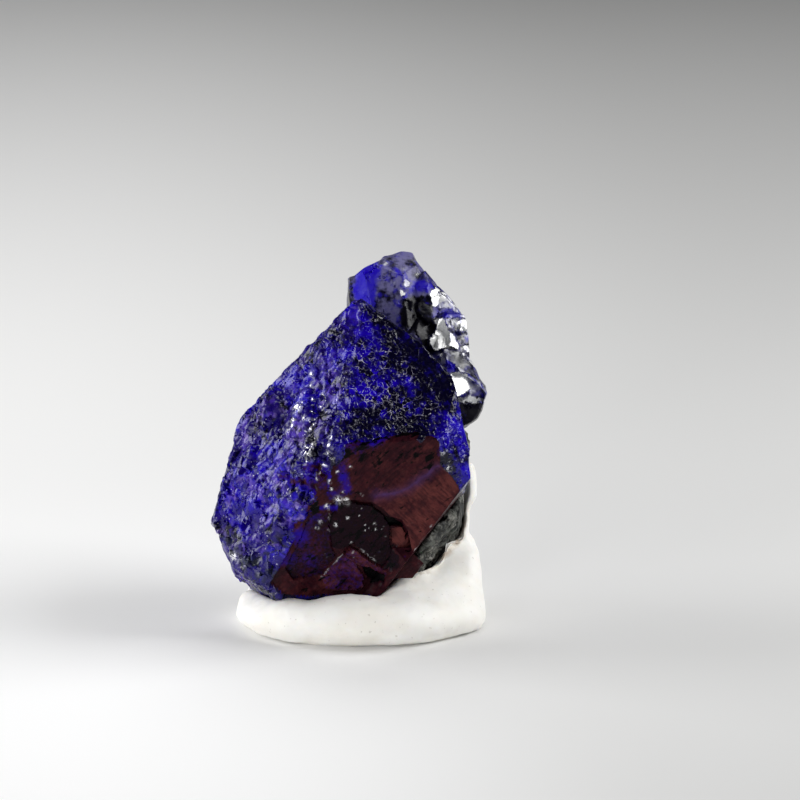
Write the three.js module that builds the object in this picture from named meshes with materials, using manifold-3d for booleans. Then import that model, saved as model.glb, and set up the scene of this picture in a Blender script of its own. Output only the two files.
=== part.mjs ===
// Azurite specimen: a stout deep blue crystal with a pointed top, a cluster of smaller
// azurite crystals behind it, the dark rock that both grew on, and the wad of white
// mounting putty that the specimen is pressed into. Millimetres.
//
// The pieces are laid out as the specimen is displayed and seen: x to the right, y up and
// z towards the viewer, who looks down on it by VIEW_DOWN degrees. The last step stands
// this layout up, with +Z up and the putty's flat foot on the ground.

import * as THREE from 'three';
import { ConvexGeometry } from 'three/addons/geometries/ConvexGeometry.js';
import { mergeVertices } from 'three/addons/utils/BufferGeometryUtils.js';
import Module from 'manifold-3d';

const wasm = await Module();
wasm.setup();

// Driving dimensions

const VIEW_DOWN = 15; // degrees that the display view looks down
const GAP = 0.3; // clearance between touching pieces
const FOOT_LEVEL = -4.0; // height of the putty's foot below the layout's origin
const RIDGE = vec(-1.5, 15.3, 7.0); // where the main crystal's three front faces meet
const RIDGE_END = vec(9.3, 16.3, 6.0); // right end of the edge across its front
const APEX = vec(1.2, 29.8, 1.5); // top of the main crystal
const FACET = 1.9; // greatest length of the small facets on the rough faces
const BACK_FACET = 3.4; // the same on the faces towards the rock
const SMOOTH_EDGE = 60; // no edge on a smooth face is as long as this
const SIDESTEP = 0.55; // how far a facet's corner strays along its face

// Azurite is monoclinic: cell edges in nanometres and the angle between a and c
const CELL = { a: 0.501, b: 0.585, c: 1.035, beta: THREE.MathUtils.degToRad(92.4) };

// Limits of the corner search
const LEAST_DETERMINANT = 1e-6; // below it three faces run too nearly parallel to meet
const CORNER_SLACK = 1e-5; // how far a corner may stand outside another face

// Helpers

function vec(x, y, z) {
  return new THREE.Vector3(x, y, z);
}

// Repeatable random numbers from 0 to 1
function randomFrom(seed) {
  let state = seed;
  return () => {
    state = (state + 0x6d2b79f5) | 0;
    let t = Math.imul(state ^ (state >>> 15), 1 | state);
    t = (t + Math.imul(t ^ (t >>> 7), 61 | t)) ^ t;
    return ((t ^ (t >>> 14)) >>> 0) / 4294967296;
  };
}

function between(random, low, high) {
  return low + (high - low) * random();
}

// The same random direction each time for the same point
function jitterAt(p) {
  const key = Math.round(p.x * 97) * 73856093 ^ Math.round(p.y * 97) * 19349663
    ^ Math.round(p.z * 97) * 83492791;
  const random = randomFrom(key);
  return vec(random() - 0.5, random() - 0.5, random() - 0.5).multiplyScalar(2);
}

// Smooth bumps: crossed waves, from -1 to 1
function waves(p, pitch, phase) {
  return (Math.sin(p.x * pitch + phase) * Math.cos(p.y * pitch * 1.3 - phase)
    + Math.sin(p.z * pitch * 0.9 + p.x * pitch * 0.6 + phase * 2)) / 2;
}

// Closed geometry as a solid that can be joined and cut
function solidOf(geometry) {
  const bare = geometry.clone();
  for (const name of Object.keys(bare.attributes)) {
    if (name !== 'position') bare.deleteAttribute(name);
  }
  const merged = mergeVertices(bare, 1e-4);
  return new wasm.Manifold(new wasm.Mesh({
    numProp: 3,
    vertProperties: merged.attributes.position.array,
    triVerts: new Uint32Array(merged.index.array),
  }));
}

function geometryOf(solid) {
  const mesh = solid.getMesh();
  const geometry = new THREE.BufferGeometry();
  const positions = new Float32Array(mesh.vertProperties);
  geometry.setAttribute('position', new THREE.BufferAttribute(positions, 3));
  geometry.setIndex(new THREE.BufferAttribute(new Uint32Array(mesh.triVerts), 1));
  return geometry;
}

function join(solids) {
  return solids.reduce((whole, piece) => whole.add(piece));
}

// Crystals, each the convex solid behind a set of flat faces

// A crystal face: the direction it looks in, a point on it, and how rough it is
function face(direction, point, rough = 0) {
  const normal = direction.clone().normalize();
  return { normal, distance: normal.dot(point), rough };
}

function movedOut(faces, gap) {
  return faces.map((f) => ({ ...f, distance: f.distance + gap + f.rough }));
}

function cornerOf(f, g, h) {
  const across = vec(0, 0, 0).crossVectors(g.normal, h.normal);
  const determinant = f.normal.dot(across);
  if (Math.abs(determinant) < LEAST_DETERMINANT) return null;
  const corner = across.multiplyScalar(f.distance);
  corner.addScaledVector(vec(0, 0, 0).crossVectors(h.normal, f.normal), g.distance);
  corner.addScaledVector(vec(0, 0, 0).crossVectors(f.normal, g.normal), h.distance);
  return corner.divideScalar(determinant);
}

function crystalGeometry(faces) {
  const corners = [];
  for (let i = 0; i < faces.length; i++) {
    for (let j = i + 1; j < faces.length; j++) {
      for (let k = j + 1; k < faces.length; k++) {
        const corner = cornerOf(faces[i], faces[j], faces[k]);
        if (!corner) continue;
        const outside = faces.some((f) => f.normal.dot(corner) > f.distance + CORNER_SLACK);
        if (!outside) corners.push(corner);
      }
    }
  }
  return new ConvexGeometry(corners);
}

function crystal(faces) {
  return solidOf(crystalGeometry(faces));
}

// Rough faces

// The faces that a point is on
function facesAt(faces, p) {
  return faces.filter((f) => Math.abs(f.normal.dot(p) - f.distance) < 0.02);
}

// What is left of a shift when it may not leave the given faces
function keptOn(faces, shift) {
  const barred = [];
  for (const { normal } of faces) {
    const direction = normal.clone();
    for (const other of barred) direction.addScaledVector(other, -direction.dot(other));
    if (direction.length() > 0.05) barred.push(direction.normalize());
  }
  for (const direction of barred) shift.addScaledVector(direction, -shift.dot(direction));
  return shift;
}

// Halves every edge that is longer than its limit, again and again
function refine(geometry, limitAt) {
  const place = geometry.attributes.position;
  let triangles = [];
  for (let i = 0; i < place.count; i += 3) {
    triangles.push([0, 1, 2].map((k) => vec(0, 0, 0).fromBufferAttribute(place, i + k)));
  }
  for (let changed = true; changed;) {
    changed = false;
    triangles = triangles.flatMap((corners) => {
      const middles = corners.map((a, k) => {
        const b = corners[(k + 1) % 3];
        const middle = vec(0, 0, 0).addVectors(a, b).multiplyScalar(0.5);
        return a.distanceTo(b) > limitAt(middle) ? middle : null;
      });
      if (middles.some(Boolean)) changed = true;
      return halved(corners, middles);
    });
  }
  const points = triangles.flat();
  return new THREE.BufferGeometry().setFromPoints(points);
}

// A triangle cut at the given middles of its edges (first is between corners 0 and 1)
function halved([a, b, c], [ab, bc, ca]) {
  if (ab && bc && ca) return [[a, ab, ca], [ab, b, bc], [ca, bc, c], [ab, bc, ca]];
  if (ab && bc) return [[a, ab, c], [ab, b, bc], [ab, bc, c]];
  if (bc && ca) return [[b, bc, a], [bc, c, ca], [bc, ca, a]];
  if (ca && ab) return [[c, ca, b], [ca, a, ab], [ca, ab, b]];
  if (ab) return [[a, ab, c], [ab, b, c]];
  if (bc) return [[b, bc, a], [bc, c, a]];
  if (ca) return [[c, ca, b], [ca, a, b]];
  return [[a, b, c]];
}

// The longest edge allowed at a point: smooth faces stay whole
function facetLimit(faces, p) {
  const rough = facesAt(faces, p).filter((f) => f.rough > 0);
  if (!rough.length) return SMOOTH_EDGE;
  return rough.some((f) => f.normal.z > -0.3) ? FACET : BACK_FACET;
}

// A crystal whose rough faces are broken up into small crooked facets
function weatheredCrystal(faces) {
  const geometry = refine(crystalGeometry(faces), (p) => facetLimit(faces, p));
  const place = geometry.attributes.position;
  for (let i = 0; i < place.count; i++) {
    const p = vec(0, 0, 0).fromBufferAttribute(place, i);
    const on = facesAt(faces, p);
    const smooth = on.filter((f) => f.rough === 0);
    const rough = on.reduce((sum, f) => sum + f.rough, 0) / on.length;
    const along = keptOn(on, jitterAt(p).multiplyScalar(SIDESTEP));
    const swell = waves(p, 1.1, 0.7);
    const out = jitterAt(p.clone().addScalar(3)).multiplyScalar(0.5);
    out.add(vec(-0.3 * swell, 0, 0.55 * swell)).multiplyScalar(rough);
    p.add(along).add(keptOn(smooth, out));
    place.setXYZ(i, p.x, p.y, p.z);
  }
  return solidOf(geometry);
}

// Main crystal

const MAIN = {
  roof: face(vec(0.0585, 0.368, 1), RIDGE, 0.26),
  roofRight: face(vec(0.2185, 0.486, 1), vec(3.2, 27.6, 2.21), 0.12),
  left: face(vec(-0.689, 0.366, 0.626), RIDGE, 0.45),
  leftLow: face(vec(-0.664, 0.05, 0.746), RIDGE, 0.62),
  front: face(vec(0.126, -0.36, 1), RIDGE),
  frontLow: face(vec(0.18, -0.467, 1), vec(6.1, 11.8, 4.79)),
  right: face(vec(0.75, 0.12, 0.65), RIDGE_END, 0.14),
  topLeft: face(vec(-0.7, 0.68, 0.04), APEX, 0.25),
  farLeft: face(vec(-0.96, 0.267, 0.06), vec(-10.5, 18.7, -4.9), 0.35),
  farLeftLow: face(vec(-0.86, -0.379, 0.06), vec(-13.3, 7.6, -3.1), 0.45),
  underLeft: face(vec(-0.5, -0.72, 0.1), vec(-11.2, 3.2, -0.8), 0.4),
  under: face(vec(0, -1, 0.05), vec(0, 0.2, 0), 0.2),
  underRight: face(vec(0.5, -0.866, 0.05), vec(5.0, 1.8, 0), 0.1),
  lowRight: face(vec(0.787, -0.617, 0.06), vec(8.5, 7.45, 0)),
  farRight: face(vec(0.992, 0.124, -0.1), vec(11.7, 13.5, 3), 0.1),
  topRight: face(vec(0.596, 0.803, -0.2), vec(4.1, 27.7, 2), 0.1),
  topRightMiddle: face(vec(0.738, 0.675, -0.2), vec(8.6, 23.8, 3.3), 0.1),
  topRightLow: face(vec(0.977, 0.215, -0.15), vec(10.75, 19.5, 4.5), 0.1),
  behindTop: face(vec(0.1, 0.66, -0.75), vec(1.2, 29.4, -1.6), 0.15),
  behind: face(vec(0.05, -0.05, -1), vec(0, 10, -7.5), 0.2),
  behindLeft: face(vec(-0.7, 0.1, -0.7), vec(-10.5, 12, -6.5), 0.3),
  behindRight: face(vec(0.7, 0.1, -0.7), vec(9.5, 14, -5.5), 0.1),
};

// Ledges: blocks of the same crystal that stand proud of its left side and lower right
const LEDGES = [
  { at: [-4.6, 11.2, 2.6], size: [1.6, 3.4, 2.6] },
  { at: [-6.6, 7.4, 0.4], size: [2.0, 2.6, 3.2] },
  { at: [-9.6, 12.6, -2.6], size: [1.9, 2.3, 2.4] },
  { at: [-9.8, 5.6, -2.4], size: [1.8, 2.2, 2.9] },
  { at: [-4.2, 17.8, 1.6], size: [1.3, 3.0, 2.0] },
  { at: [-7.4, 18.6, -2.2], size: [1.8, 2.2, 1.9] },
  { at: [-2.2, 23.4, 0.2], size: [1.1, 2.6, 1.7] },
  { at: [-12.0, 8.4, -5.0], size: [1.5, 1.9, 2.0] },
  { at: [-6.4, 2.6, 0.2], size: [1.5, 1.5, 2.0] },
  { at: [5.4, 3.4, -0.6], size: [1.7, 1.5, 2.0] },
];
const LEDGE_FACES = ['roof', 'left', 'leftLow', 'front', 'right', 'topLeft', 'farLeft',
  'underLeft', 'under', 'lowRight', 'topRight', 'behind'];

function ledge({ at, size }, index) {
  const random = randomFrom(40 + index);
  const centre = vec(...at);
  return crystal(LEDGE_FACES.map((name) => {
    const { normal } = MAIN[name];
    const reach = normal.clone().multiply(vec(...size)).length() * between(random, 0.8, 1);
    return { normal, distance: normal.dot(centre) + reach };
  }));
}

// The break across the lower front: below this line the crystal was knocked off, down to
// a floor that meets the left side along a slanting edge
const BREAK_LINE = [[-4.4, 8.9], [-2.6, 9.7], [-1.2, 10.0], [0.6, 10.1], [2.2, 9.9], [3.3, 9.2],
  [4.1, 8.4], [5.2, 8.1], [5.8, 6.9], [6.2, 5.0], [7.4, 3.9]];
const BREAK_SIDES = { left: -13, right: 9, bottom: -8 };
const BREAK_HEIGHT = 14; // further than anything stands in front of the floor
const BREAK_PEAK = vec(-0.7, 5.3, 2.3); // where the three facets of the floor meet
const BREAK_FLOOR = [
  face(vec(0.12, -0.42, 0.88), BREAK_PEAK),
  face(vec(0.32, -0.38, 0.87), BREAK_PEAK),
  face(vec(0.2, -0.64, 0.76), BREAK_PEAK),
];
// The low block left standing at the right end of the floor
const STUMP_TOP = vec(5.8, 3.6, 1.3);
const STUMP = [
  face(vec(-0.55, -0.1, 0.8), STUMP_TOP),
  face(vec(0.5, 0.1, 0.86), STUMP_TOP),
  face(vec(0.15, -0.6, 0.76), STUMP_TOP),
  face(vec(-0.1, 0.35, 0.93), STUMP_TOP),
  face(vec(-0.05, 1, -0.1), vec(5.8, 5.2, 0)),
  face(vec(0, 0, -1), vec(5.8, 3.6, -2.5)),
];

// What was knocked off: all in front of the floor, within the outline seen from the front
function knockedOff() {
  const { left, right, bottom } = BREAK_SIDES;
  const points = [[left, bottom], [left, BREAK_LINE[0][1]], ...BREAK_LINE, [right, bottom]];
  const outline = new THREE.Shape(points.map(([x, y]) => new THREE.Vector2(x, y)));
  const depth = 2 * BREAK_HEIGHT;
  const piece = new THREE.ExtrudeGeometry(outline, { depth, bevelEnabled: false });
  piece.translate(0, 0, -BREAK_HEIGHT);
  const surround = [vec(1, 0, 0), vec(-1, 0, 0), vec(0, 1, 0), vec(0, -1, 0), vec(0, 0, -1)];
  const bounds = surround.map((d) => face(d, d.clone().multiplyScalar(2 * depth)));
  return solidOf(piece).subtract(crystal([...BREAK_FLOOR, ...bounds]));
}

function mainCrystal() {
  const faces = Object.values(MAIN);
  return weatheredCrystal(faces)
    .add(join(LEDGES.map(ledge)))
    .subtract(knockedOff())
    .add(crystal(STUMP).intersect(crystal(faces)));
}

// The main crystal's room in the other pieces
function mainRoom() {
  const ledges = LEDGES.map((each, index) => {
    const size = each.size.map((s) => s + 1.3 * GAP);
    return ledge({ ...each, size }, index);
  });
  return crystal(movedOut(Object.values(MAIN), GAP)).add(join(ledges));
}

// Rear crystals

// Direction of the crystal face with Miller indices h, k, l
function millerNormal(h, k, l) {
  const { a, b, c, beta } = CELL;
  const x = h / a;
  const z = l / (c * Math.sin(beta)) - (h * Math.cos(beta)) / (a * Math.sin(beta));
  return vec(x, k / b, z).normalize();
}

// The forms of a blocky azurite crystal, with the distance of each from its centre
const HABIT = [
  [[0, 0, 1], 0.92], [[0, 0, -1], 0.92],
  [[1, 0, 0], 0.9], [[-1, 0, 0], 0.9],
  [[1, 1, 0], 0.8], [[1, -1, 0], 0.8], [[-1, 1, 0], 0.8], [[-1, -1, 0], 0.8],
  [[1, 0, 1], 0.96], [[-1, 0, -1], 0.96],
  [[0, 2, 1], 0.98], [[0, -2, 1], 0.98], [[0, 2, -1], 0.98], [[0, -2, -1], 0.98],
  [[2, 2, 1], 0.92], [[-2, 2, -1], 0.92], [[2, -2, 1], 0.92], [[-2, -2, -1], 0.92],
];

// Each small crystal: centre, size, stretch along its own axes, turn in degrees
const SMALL_CRYSTALS = [
  { at: [9.7, 25.7, -9.4], size: 2.9, stretch: [1, 1, 1.25], turn: [20, 35, 10] },
  { at: [9.6, 28.9, -10.2], size: 1.9, stretch: [1, 1, 1.1], turn: [60, 20, 40] },
  { at: [7.4, 30.8, -10.0], size: 2.2, stretch: [1.1, 1, 1], turn: [-20, 50, 70] },
  { at: [7.2, 26.4, -8.6], size: 2.3, stretch: [1, 1, 1.1], turn: [35, -25, 15] },
  { at: [11.3, 22.4, -7.3], size: 2.3, stretch: [1.2, 1, 1], turn: [10, 15, -35] },
  { at: [-2.3, 21.4, -10.6], size: 3.2, stretch: [1, 1, 1.2], turn: [15, -30, 25] },
  { at: [2.6, 24.8, -15.0], size: 2.9, stretch: [1, 1.1, 1.2], turn: [70, 10, -30] },
  { at: [9.2, 20.6, -12.4], size: 2.9, stretch: [1, 1, 1.3], turn: [-50, 25, 15] },
  { at: [-5.4, 18.2, -10.2], size: 2.5, stretch: [1, 1, 1.1], turn: [30, 60, 0] },
  { at: [6.4, 21.2, -15.6], size: 2.3, stretch: [1, 1, 1.1], turn: [5, 75, 35] },
  { at: [-0.4, 19.6, -14.8], size: 2.7, stretch: [1, 1, 1.2], turn: [-35, 20, 50] },
  { at: [3.2, 16.8, -16.8], size: 2.2, stretch: [1, 1.1, 1], turn: [25, 40, -60] },
  { at: [9.0, 29.6, -8.6], size: 1.3, stretch: [1, 1.2, 1], turn: [10, 20, 60] },
  { at: [10.7, 27.2, -8.5], size: 1.3, stretch: [1, 1, 1.3], turn: [-30, 50, 20] },
  { at: [9.9, 27.6, -7.2], size: 1.2, stretch: [1.2, 1, 1], turn: [50, -10, 30] },
  { at: [7.9, 29.0, -7.7], size: 1.1, stretch: [1, 1, 1], turn: [75, 40, -20] },
  { at: [11.2, 24.6, -7.2], size: 1.3, stretch: [1, 1.2, 1], turn: [15, -40, 65] },
  { at: [10.2, 23.6, -5.7], size: 1.2, stretch: [1, 1, 1.2], turn: [-60, 15, 5] },
];

function smallCrystal({ at, size, stretch, turn }) {
  const rotation = new THREE.Euler(...turn.map((t) => THREE.MathUtils.degToRad(t)));
  const centre = vec(...at);
  return HABIT.map(([indices, reach]) => {
    const normal = millerNormal(...indices);
    const distance = size * reach * normal.clone().multiply(vec(...stretch)).length();
    normal.applyEuler(rotation);
    return { normal, distance: normal.dot(centre) + distance, rough: 0 };
  });
}

// The tall round-topped crystal at the back
const TALL = [
  face(vec(-1, 0, 0.08), vec(-0.1, 30, -10)),
  face(vec(-0.62, 0.05, 0.78), vec(1.6, 30, -7.7)),
  face(vec(-0.12, 0.2, 0.97), vec(4.0, 30, -7.1)),
  face(vec(0.55, 0.22, 0.8), vec(6.6, 30, -7.7)),
  face(vec(1, 0.15, 0.05), vec(8.7, 30, -11)),
  face(vec(-0.72, 0.69, 0.1), vec(0.4, 33.0, -10)),
  face(vec(-0.33, 0.94, 0.1), vec(2.8, 34.2, -10.5)),
  face(vec(0.12, 0.99, 0.05), vec(5.4, 35.1, -11.5)),
  face(vec(0.72, 0.69, 0.05), vec(7.6, 33.9, -11)),
  face(vec(0.1, 0.72, 0.69), vec(4.6, 33.8, -8.6)),
  face(vec(-0.1, 0.8, -0.6), vec(4.6, 33.8, -13.6)),
  face(vec(0.05, 0.1, -1), vec(4, 28, -15.6)),
  face(vec(-0.75, 0.1, -0.66), vec(1.2, 28, -14.0)),
  face(vec(0.75, 0.1, -0.66), vec(7.6, 28, -13.8)),
  face(vec(0, -1, 0), vec(4, 16, -12)),
];

// The dark wedge that points to the right, below the rear cluster
const WEDGE = [
  face(vec(0.62, 0.72, 0.3), vec(11.8, 22.7, -5.4)),
  face(vec(-0.1, 0.75, 0.66), vec(9.8, 23.6, -5.0)),
  face(vec(0.35, 0.1, 0.93), vec(12, 20.6, -4.0)),
  face(vec(0.93, -0.3, 0.1), vec(14.0, 19.8, -6.4)),
  face(vec(0.35, -0.93, 0.05), vec(12.6, 17.9, -6.4)),
  face(vec(-0.3, -0.8, 0.5), vec(10.5, 17.8, -4.9)),
  face(vec(0.5, 0.2, -0.84), vec(12, 20, -10.0)),
  face(vec(0.1, 0.7, -0.7), vec(9.5, 22.5, -9.9)),
  face(vec(-1, 0, 0), vec(6.5, 20, -8)),
  face(vec(-0.3, 0.1, -0.94), vec(8, 20, -11.5)),
];

function rearCrystals(gap = 0) {
  const crystals = [TALL, WEDGE, ...SMALL_CRYSTALS.map(smallCrystal)];
  return join(crystals.map((faces) => crystal(movedOut(faces, gap))));
}

// Rock and putty

// A ball of many small triangles, moved out along each direction by reach
function lump(centre, detail, reach) {
  const ball = new THREE.IcosahedronGeometry(1, detail);
  const place = ball.attributes.position;
  for (let i = 0; i < place.count; i++) {
    const direction = vec(0, 0, 0).fromBufferAttribute(place, i).normalize();
    const p = direction.clone().multiplyScalar(reach(direction)).add(centre);
    place.setXYZ(i, p.x, p.y, p.z);
  }
  return solidOf(ball);
}

// Two broken lumps of rock, one over the other
const ROCKS = [
  { centre: vec(1.7, 9.9, -6.6), size: vec(9.9, 10.6, 8.2), detail: 7, seed: 5 },
  { centre: vec(3.2, 16.4, -10.4), size: vec(8.4, 6.2, 7.0), detail: 5, seed: 8 },
];
const ROCK_BREAKS = 26; // flat broken faces on each
const GOLDEN_TURN = 2.39996; // radians between one face and the next, for an even spread

function brokenLump({ centre, size, detail, seed }, gap) {
  const random = randomFrom(seed);
  const breaks = [];
  for (let i = 0; i < ROCK_BREAKS; i++) {
    const up = 1 - (2 * i + 1) / ROCK_BREAKS;
    const turn = i * GOLDEN_TURN + between(random, -0.5, 0.5);
    const level = Math.sqrt(1 - up * up);
    const normal = vec(level * Math.cos(turn), up, level * Math.sin(turn));
    breaks.push({ normal, distance: between(random, 0.84, 1.0) });
  }
  return lump(centre, detail, (d) => {
    const scaled = d.clone().divide(size);
    const unit = scaled.clone().normalize();
    const flat = Math.min(...breaks.map(({ normal, distance }) =>
      distance / Math.max(normal.dot(unit), 0.3)));
    const bumps = 0.35 * waves(d, 9, 1.7) + 0.2 * waves(d, 21, 0.4);
    return Math.min(flat, 1.12) / scaled.length() + bumps + gap * 1.5;
  });
}

function rock(gap = 0) {
  return join(ROCKS.map((each) => brokenLump(each, gap)));
}

// The wad of putty is low in front and pushed up behind, where it backs the rock
const PUTTY_CENTRE = vec(1.2, -2.2, -4.4);
const PUTTY_SIZE = vec(11.4, 3.4, 8.6);
const PUTTY_DETAIL = 6;
// Where thumbs pushed it up: direction, reach and how wide each lobe is
const PUTTY_LOBES = [
  { to: vec(0.56, 0.78, -0.27).normalize(), reach: 13.4, width: 0.36 },
  { to: vec(0.9, 0.43, -0.04).normalize(), reach: 4.4, width: 0.3 },
  { to: vec(-0.8, 0.45, -0.4).normalize(), reach: 4.2, width: 0.5 },
  { to: vec(-0.1, 0.6, -0.8).normalize(), reach: 6.4, width: 0.6 },
];

function puttyWad() {
  return lump(PUTTY_CENTRE, PUTTY_DETAIL, (d) => {
    let reach = 1 / d.clone().divide(PUTTY_SIZE).length();
    for (const lobe of PUTTY_LOBES) {
      const off = d.distanceTo(lobe.to) / lobe.width;
      reach += lobe.reach * Math.exp(-off * off);
    }
    return reach + 0.25 * waves(d, 5, 0.6);
  });
}

// Standing it up

const standUp = new THREE.Matrix4().makeRotationX(THREE.MathUtils.degToRad(90 - VIEW_DOWN));

function stand(solid) {
  return solidOf(geometryOf(solid).applyMatrix4(standUp));
}

function belowFoot() {
  const block = new THREE.BoxGeometry(80, 80, 40);
  block.translate(0, 0, FOOT_LEVEL - 20);
  return solidOf(block);
}

function largestPiece(solid) {
  return solid.decompose().reduce((a, b) => (a.volume() > b.volume() ? a : b));
}

const crystalRoom = mainRoom().add(rearCrystals(GAP));
const rearSolid = rearCrystals().subtract(mainRoom());
const rockSolid = rock().subtract(crystalRoom);
const puttySolid = puttyWad().subtract(crystalRoom).subtract(rock(GAP));

const PIECES = {
  main_crystal: { solid: stand(mainCrystal()), colour: 0x14068c, roughness: 0.18 },
  rear_crystals: { solid: stand(rearSolid), colour: 0x2a1fa0, roughness: 0.15 },
  matrix: { solid: stand(rockSolid), colour: 0x3a3f3a, roughness: 0.85 },
  mounting_putty: {
    solid: stand(puttySolid).subtract(belowFoot()),
    colour: 0xf2efe4,
    roughness: 0.7,
  },
};

const specimen = new THREE.Group();
for (const [name, { solid, colour, roughness }] of Object.entries(PIECES)) {
  const material = new THREE.MeshStandardMaterial({ color: colour, roughness, metalness: 0 });
  const mesh = new THREE.Mesh(geometryOf(largestPiece(solid)), material);
  mesh.name = name;
  specimen.add(mesh);
}

// The origin is under the middle of the whole specimen, on the foot
const box = new THREE.Box3().setFromObject(specimen);
const middle = box.getCenter(vec(0, 0, 0));
for (const mesh of specimen.children) mesh.position.set(-middle.x, -middle.y, -box.min.z);

export default specimen;
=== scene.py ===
"""Looks of the azurite specimen: crystals, rock and putty in full detail on a pale floor."""

import math
from itertools import product
from types import SimpleNamespace

import bpy
import numpy as np
from mathutils import Matrix, Vector


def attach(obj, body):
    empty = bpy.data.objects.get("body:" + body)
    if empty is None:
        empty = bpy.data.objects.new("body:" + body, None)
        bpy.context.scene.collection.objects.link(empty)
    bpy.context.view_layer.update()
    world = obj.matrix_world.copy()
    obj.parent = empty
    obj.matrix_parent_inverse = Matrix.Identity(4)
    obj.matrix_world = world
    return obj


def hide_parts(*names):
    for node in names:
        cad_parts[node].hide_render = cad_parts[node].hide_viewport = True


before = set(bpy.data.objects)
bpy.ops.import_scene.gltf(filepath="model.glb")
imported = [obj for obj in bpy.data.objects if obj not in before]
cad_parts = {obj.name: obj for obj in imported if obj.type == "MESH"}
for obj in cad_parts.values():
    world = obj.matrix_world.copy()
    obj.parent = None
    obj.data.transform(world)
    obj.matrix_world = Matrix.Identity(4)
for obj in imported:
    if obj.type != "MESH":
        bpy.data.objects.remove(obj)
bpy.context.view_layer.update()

# The specimen is laid out as it is seen: u to the right, v up and w towards the viewer, in
# millimetres. The view looks down by VIEW_DOWN degrees, and OFFSET is where the layout's
# origin stands.
VIEW_DOWN = 15
OFFSET = np.array([-0.409, -10.136, 4])
_angle = math.radians(90 - VIEW_DOWN)
TURN = np.array([[1, 0, 0],
                 [0, math.cos(_angle), -math.sin(_angle)],
                 [0, math.sin(_angle), math.cos(_angle)]])
MM = 0.001


def laid_out(metres):
    """Layout millimetres of places in metres."""
    return (metres / MM - OFFSET) @ TURN


def stood_up(layout):
    """Metres of places in layout millimetres."""
    return (layout @ TURN.T + OFFSET) * MM


def unit(vectors):
    vectors = np.asarray(vectors, float)
    length = np.linalg.norm(vectors, axis=-1, keepdims=True)
    return vectors / np.maximum(length, 1e-12)


# Numbers that repeat the same way each time


def hashed(cells, seed):
    """A number from 0 to 1 for each whole-numbered cell, scattered by large odd factors."""
    c = cells.astype(np.int64)
    h = (c[..., 0] * 73856093) ^ (c[..., 1] * 19349663) ^ (c[..., 2] * 83492791)
    h = (h ^ (seed * 2654435761)) & 0xFFFFFFFF
    for _ in range(2):
        h = ((h ^ (h >> 16)) * 0x45D9F3B) & 0xFFFFFFFF
    return (h ^ (h >> 16)) / 2.0**32


def noise(points, size, seed, octaves=1):
    """Smooth noise from -1 to 1 whose bumps are about size across."""
    total, weight = 0.0, 0.0
    for octave in range(octaves):
        q = points / size * 2**octave + 17.3 * octave
        base = np.floor(q)
        f = q - base
        f = f * f * (3 - 2 * f)
        value = 0.0
        for corner in product((0, 1), repeat=3):
            corner = np.array(corner)
            share = np.prod(np.where(corner, f, 1 - f), axis=1)
            value = value + share * hashed(base + corner, seed + octave)
        total = total + (2 * value - 1) * 0.5**octave
        weight += 0.5**octave
    return total / weight


def cells(points, size, seed):
    """For each point: nearest and second distance, in cells, the cell's number, and the way
    from its middle."""
    q = points / size
    base = np.floor(q)
    first = np.full(len(q), 9.0)
    second = first.copy()
    number = np.zeros(len(q))
    away = np.zeros_like(q)
    for step in product((-1, 0, 1), repeat=3):
        cell = base + np.array(step)
        middle = cell + np.stack([hashed(cell, seed + k) for k in range(3)], axis=1)
        rel = q - middle
        distance = np.linalg.norm(rel, axis=1)
        nearer = distance < first
        second = np.where(nearer, first, np.minimum(second, distance))
        number = np.where(nearer, hashed(cell, seed + 7), number)
        away = np.where(nearer[:, None], rel, away)
        first = np.where(nearer, distance, first)
    return first, second, number, away


def drift(points, size, seed):
    """Smooth noise in all three directions."""
    return np.stack([noise(points, size, seed + k, 2) for k in range(3)], axis=1)


def smooth(low, high, x):
    """0 where x is low or past it, 1 where it is high or past it, and smooth between."""
    t = np.clip((x - low) / (high - low), 0, 1)
    return t * t * (3 - 2 * t)


def bell(x, width):
    """1 where x is 0, falling to 0 on both sides."""
    return np.exp(-((x / width) ** 2))


def spot(points, u, v, radius):
    """1 at (u, v) as seen from the front, falling to 0 about a radius away."""
    d2 = (points[:, 0] - u) ** 2 + (points[:, 1] - v) ** 2
    return np.exp(-d2 / (radius * radius))


# Meshes

WELD = 1e-7  # metres within which CAD points are one
MAX_ROUNDS = 30  # of halving, more than any surface needs


def welded(node):
    """A CAD node's points, in layout millimetres, and triangles."""
    mesh = node.data
    mesh.calc_loop_triangles()
    co = np.zeros(len(mesh.vertices) * 3, np.float32)
    mesh.vertices.foreach_get("co", co)
    triangles = np.zeros(len(mesh.loop_triangles) * 3, np.int32)
    mesh.loop_triangles.foreach_get("vertices", triangles)
    keys = np.round(co.reshape(-1, 3) / WELD).astype(np.int64)
    unique, inverse = np.unique(keys, axis=0, return_inverse=True)
    points = laid_out(unique * WELD)
    triangles = inverse.reshape(-1)[triangles.reshape(-1, 3)]
    a, b, c = triangles.T
    whole = (a != b) & (b != c) & (c != a)
    return points, triangles[whole]


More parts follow.
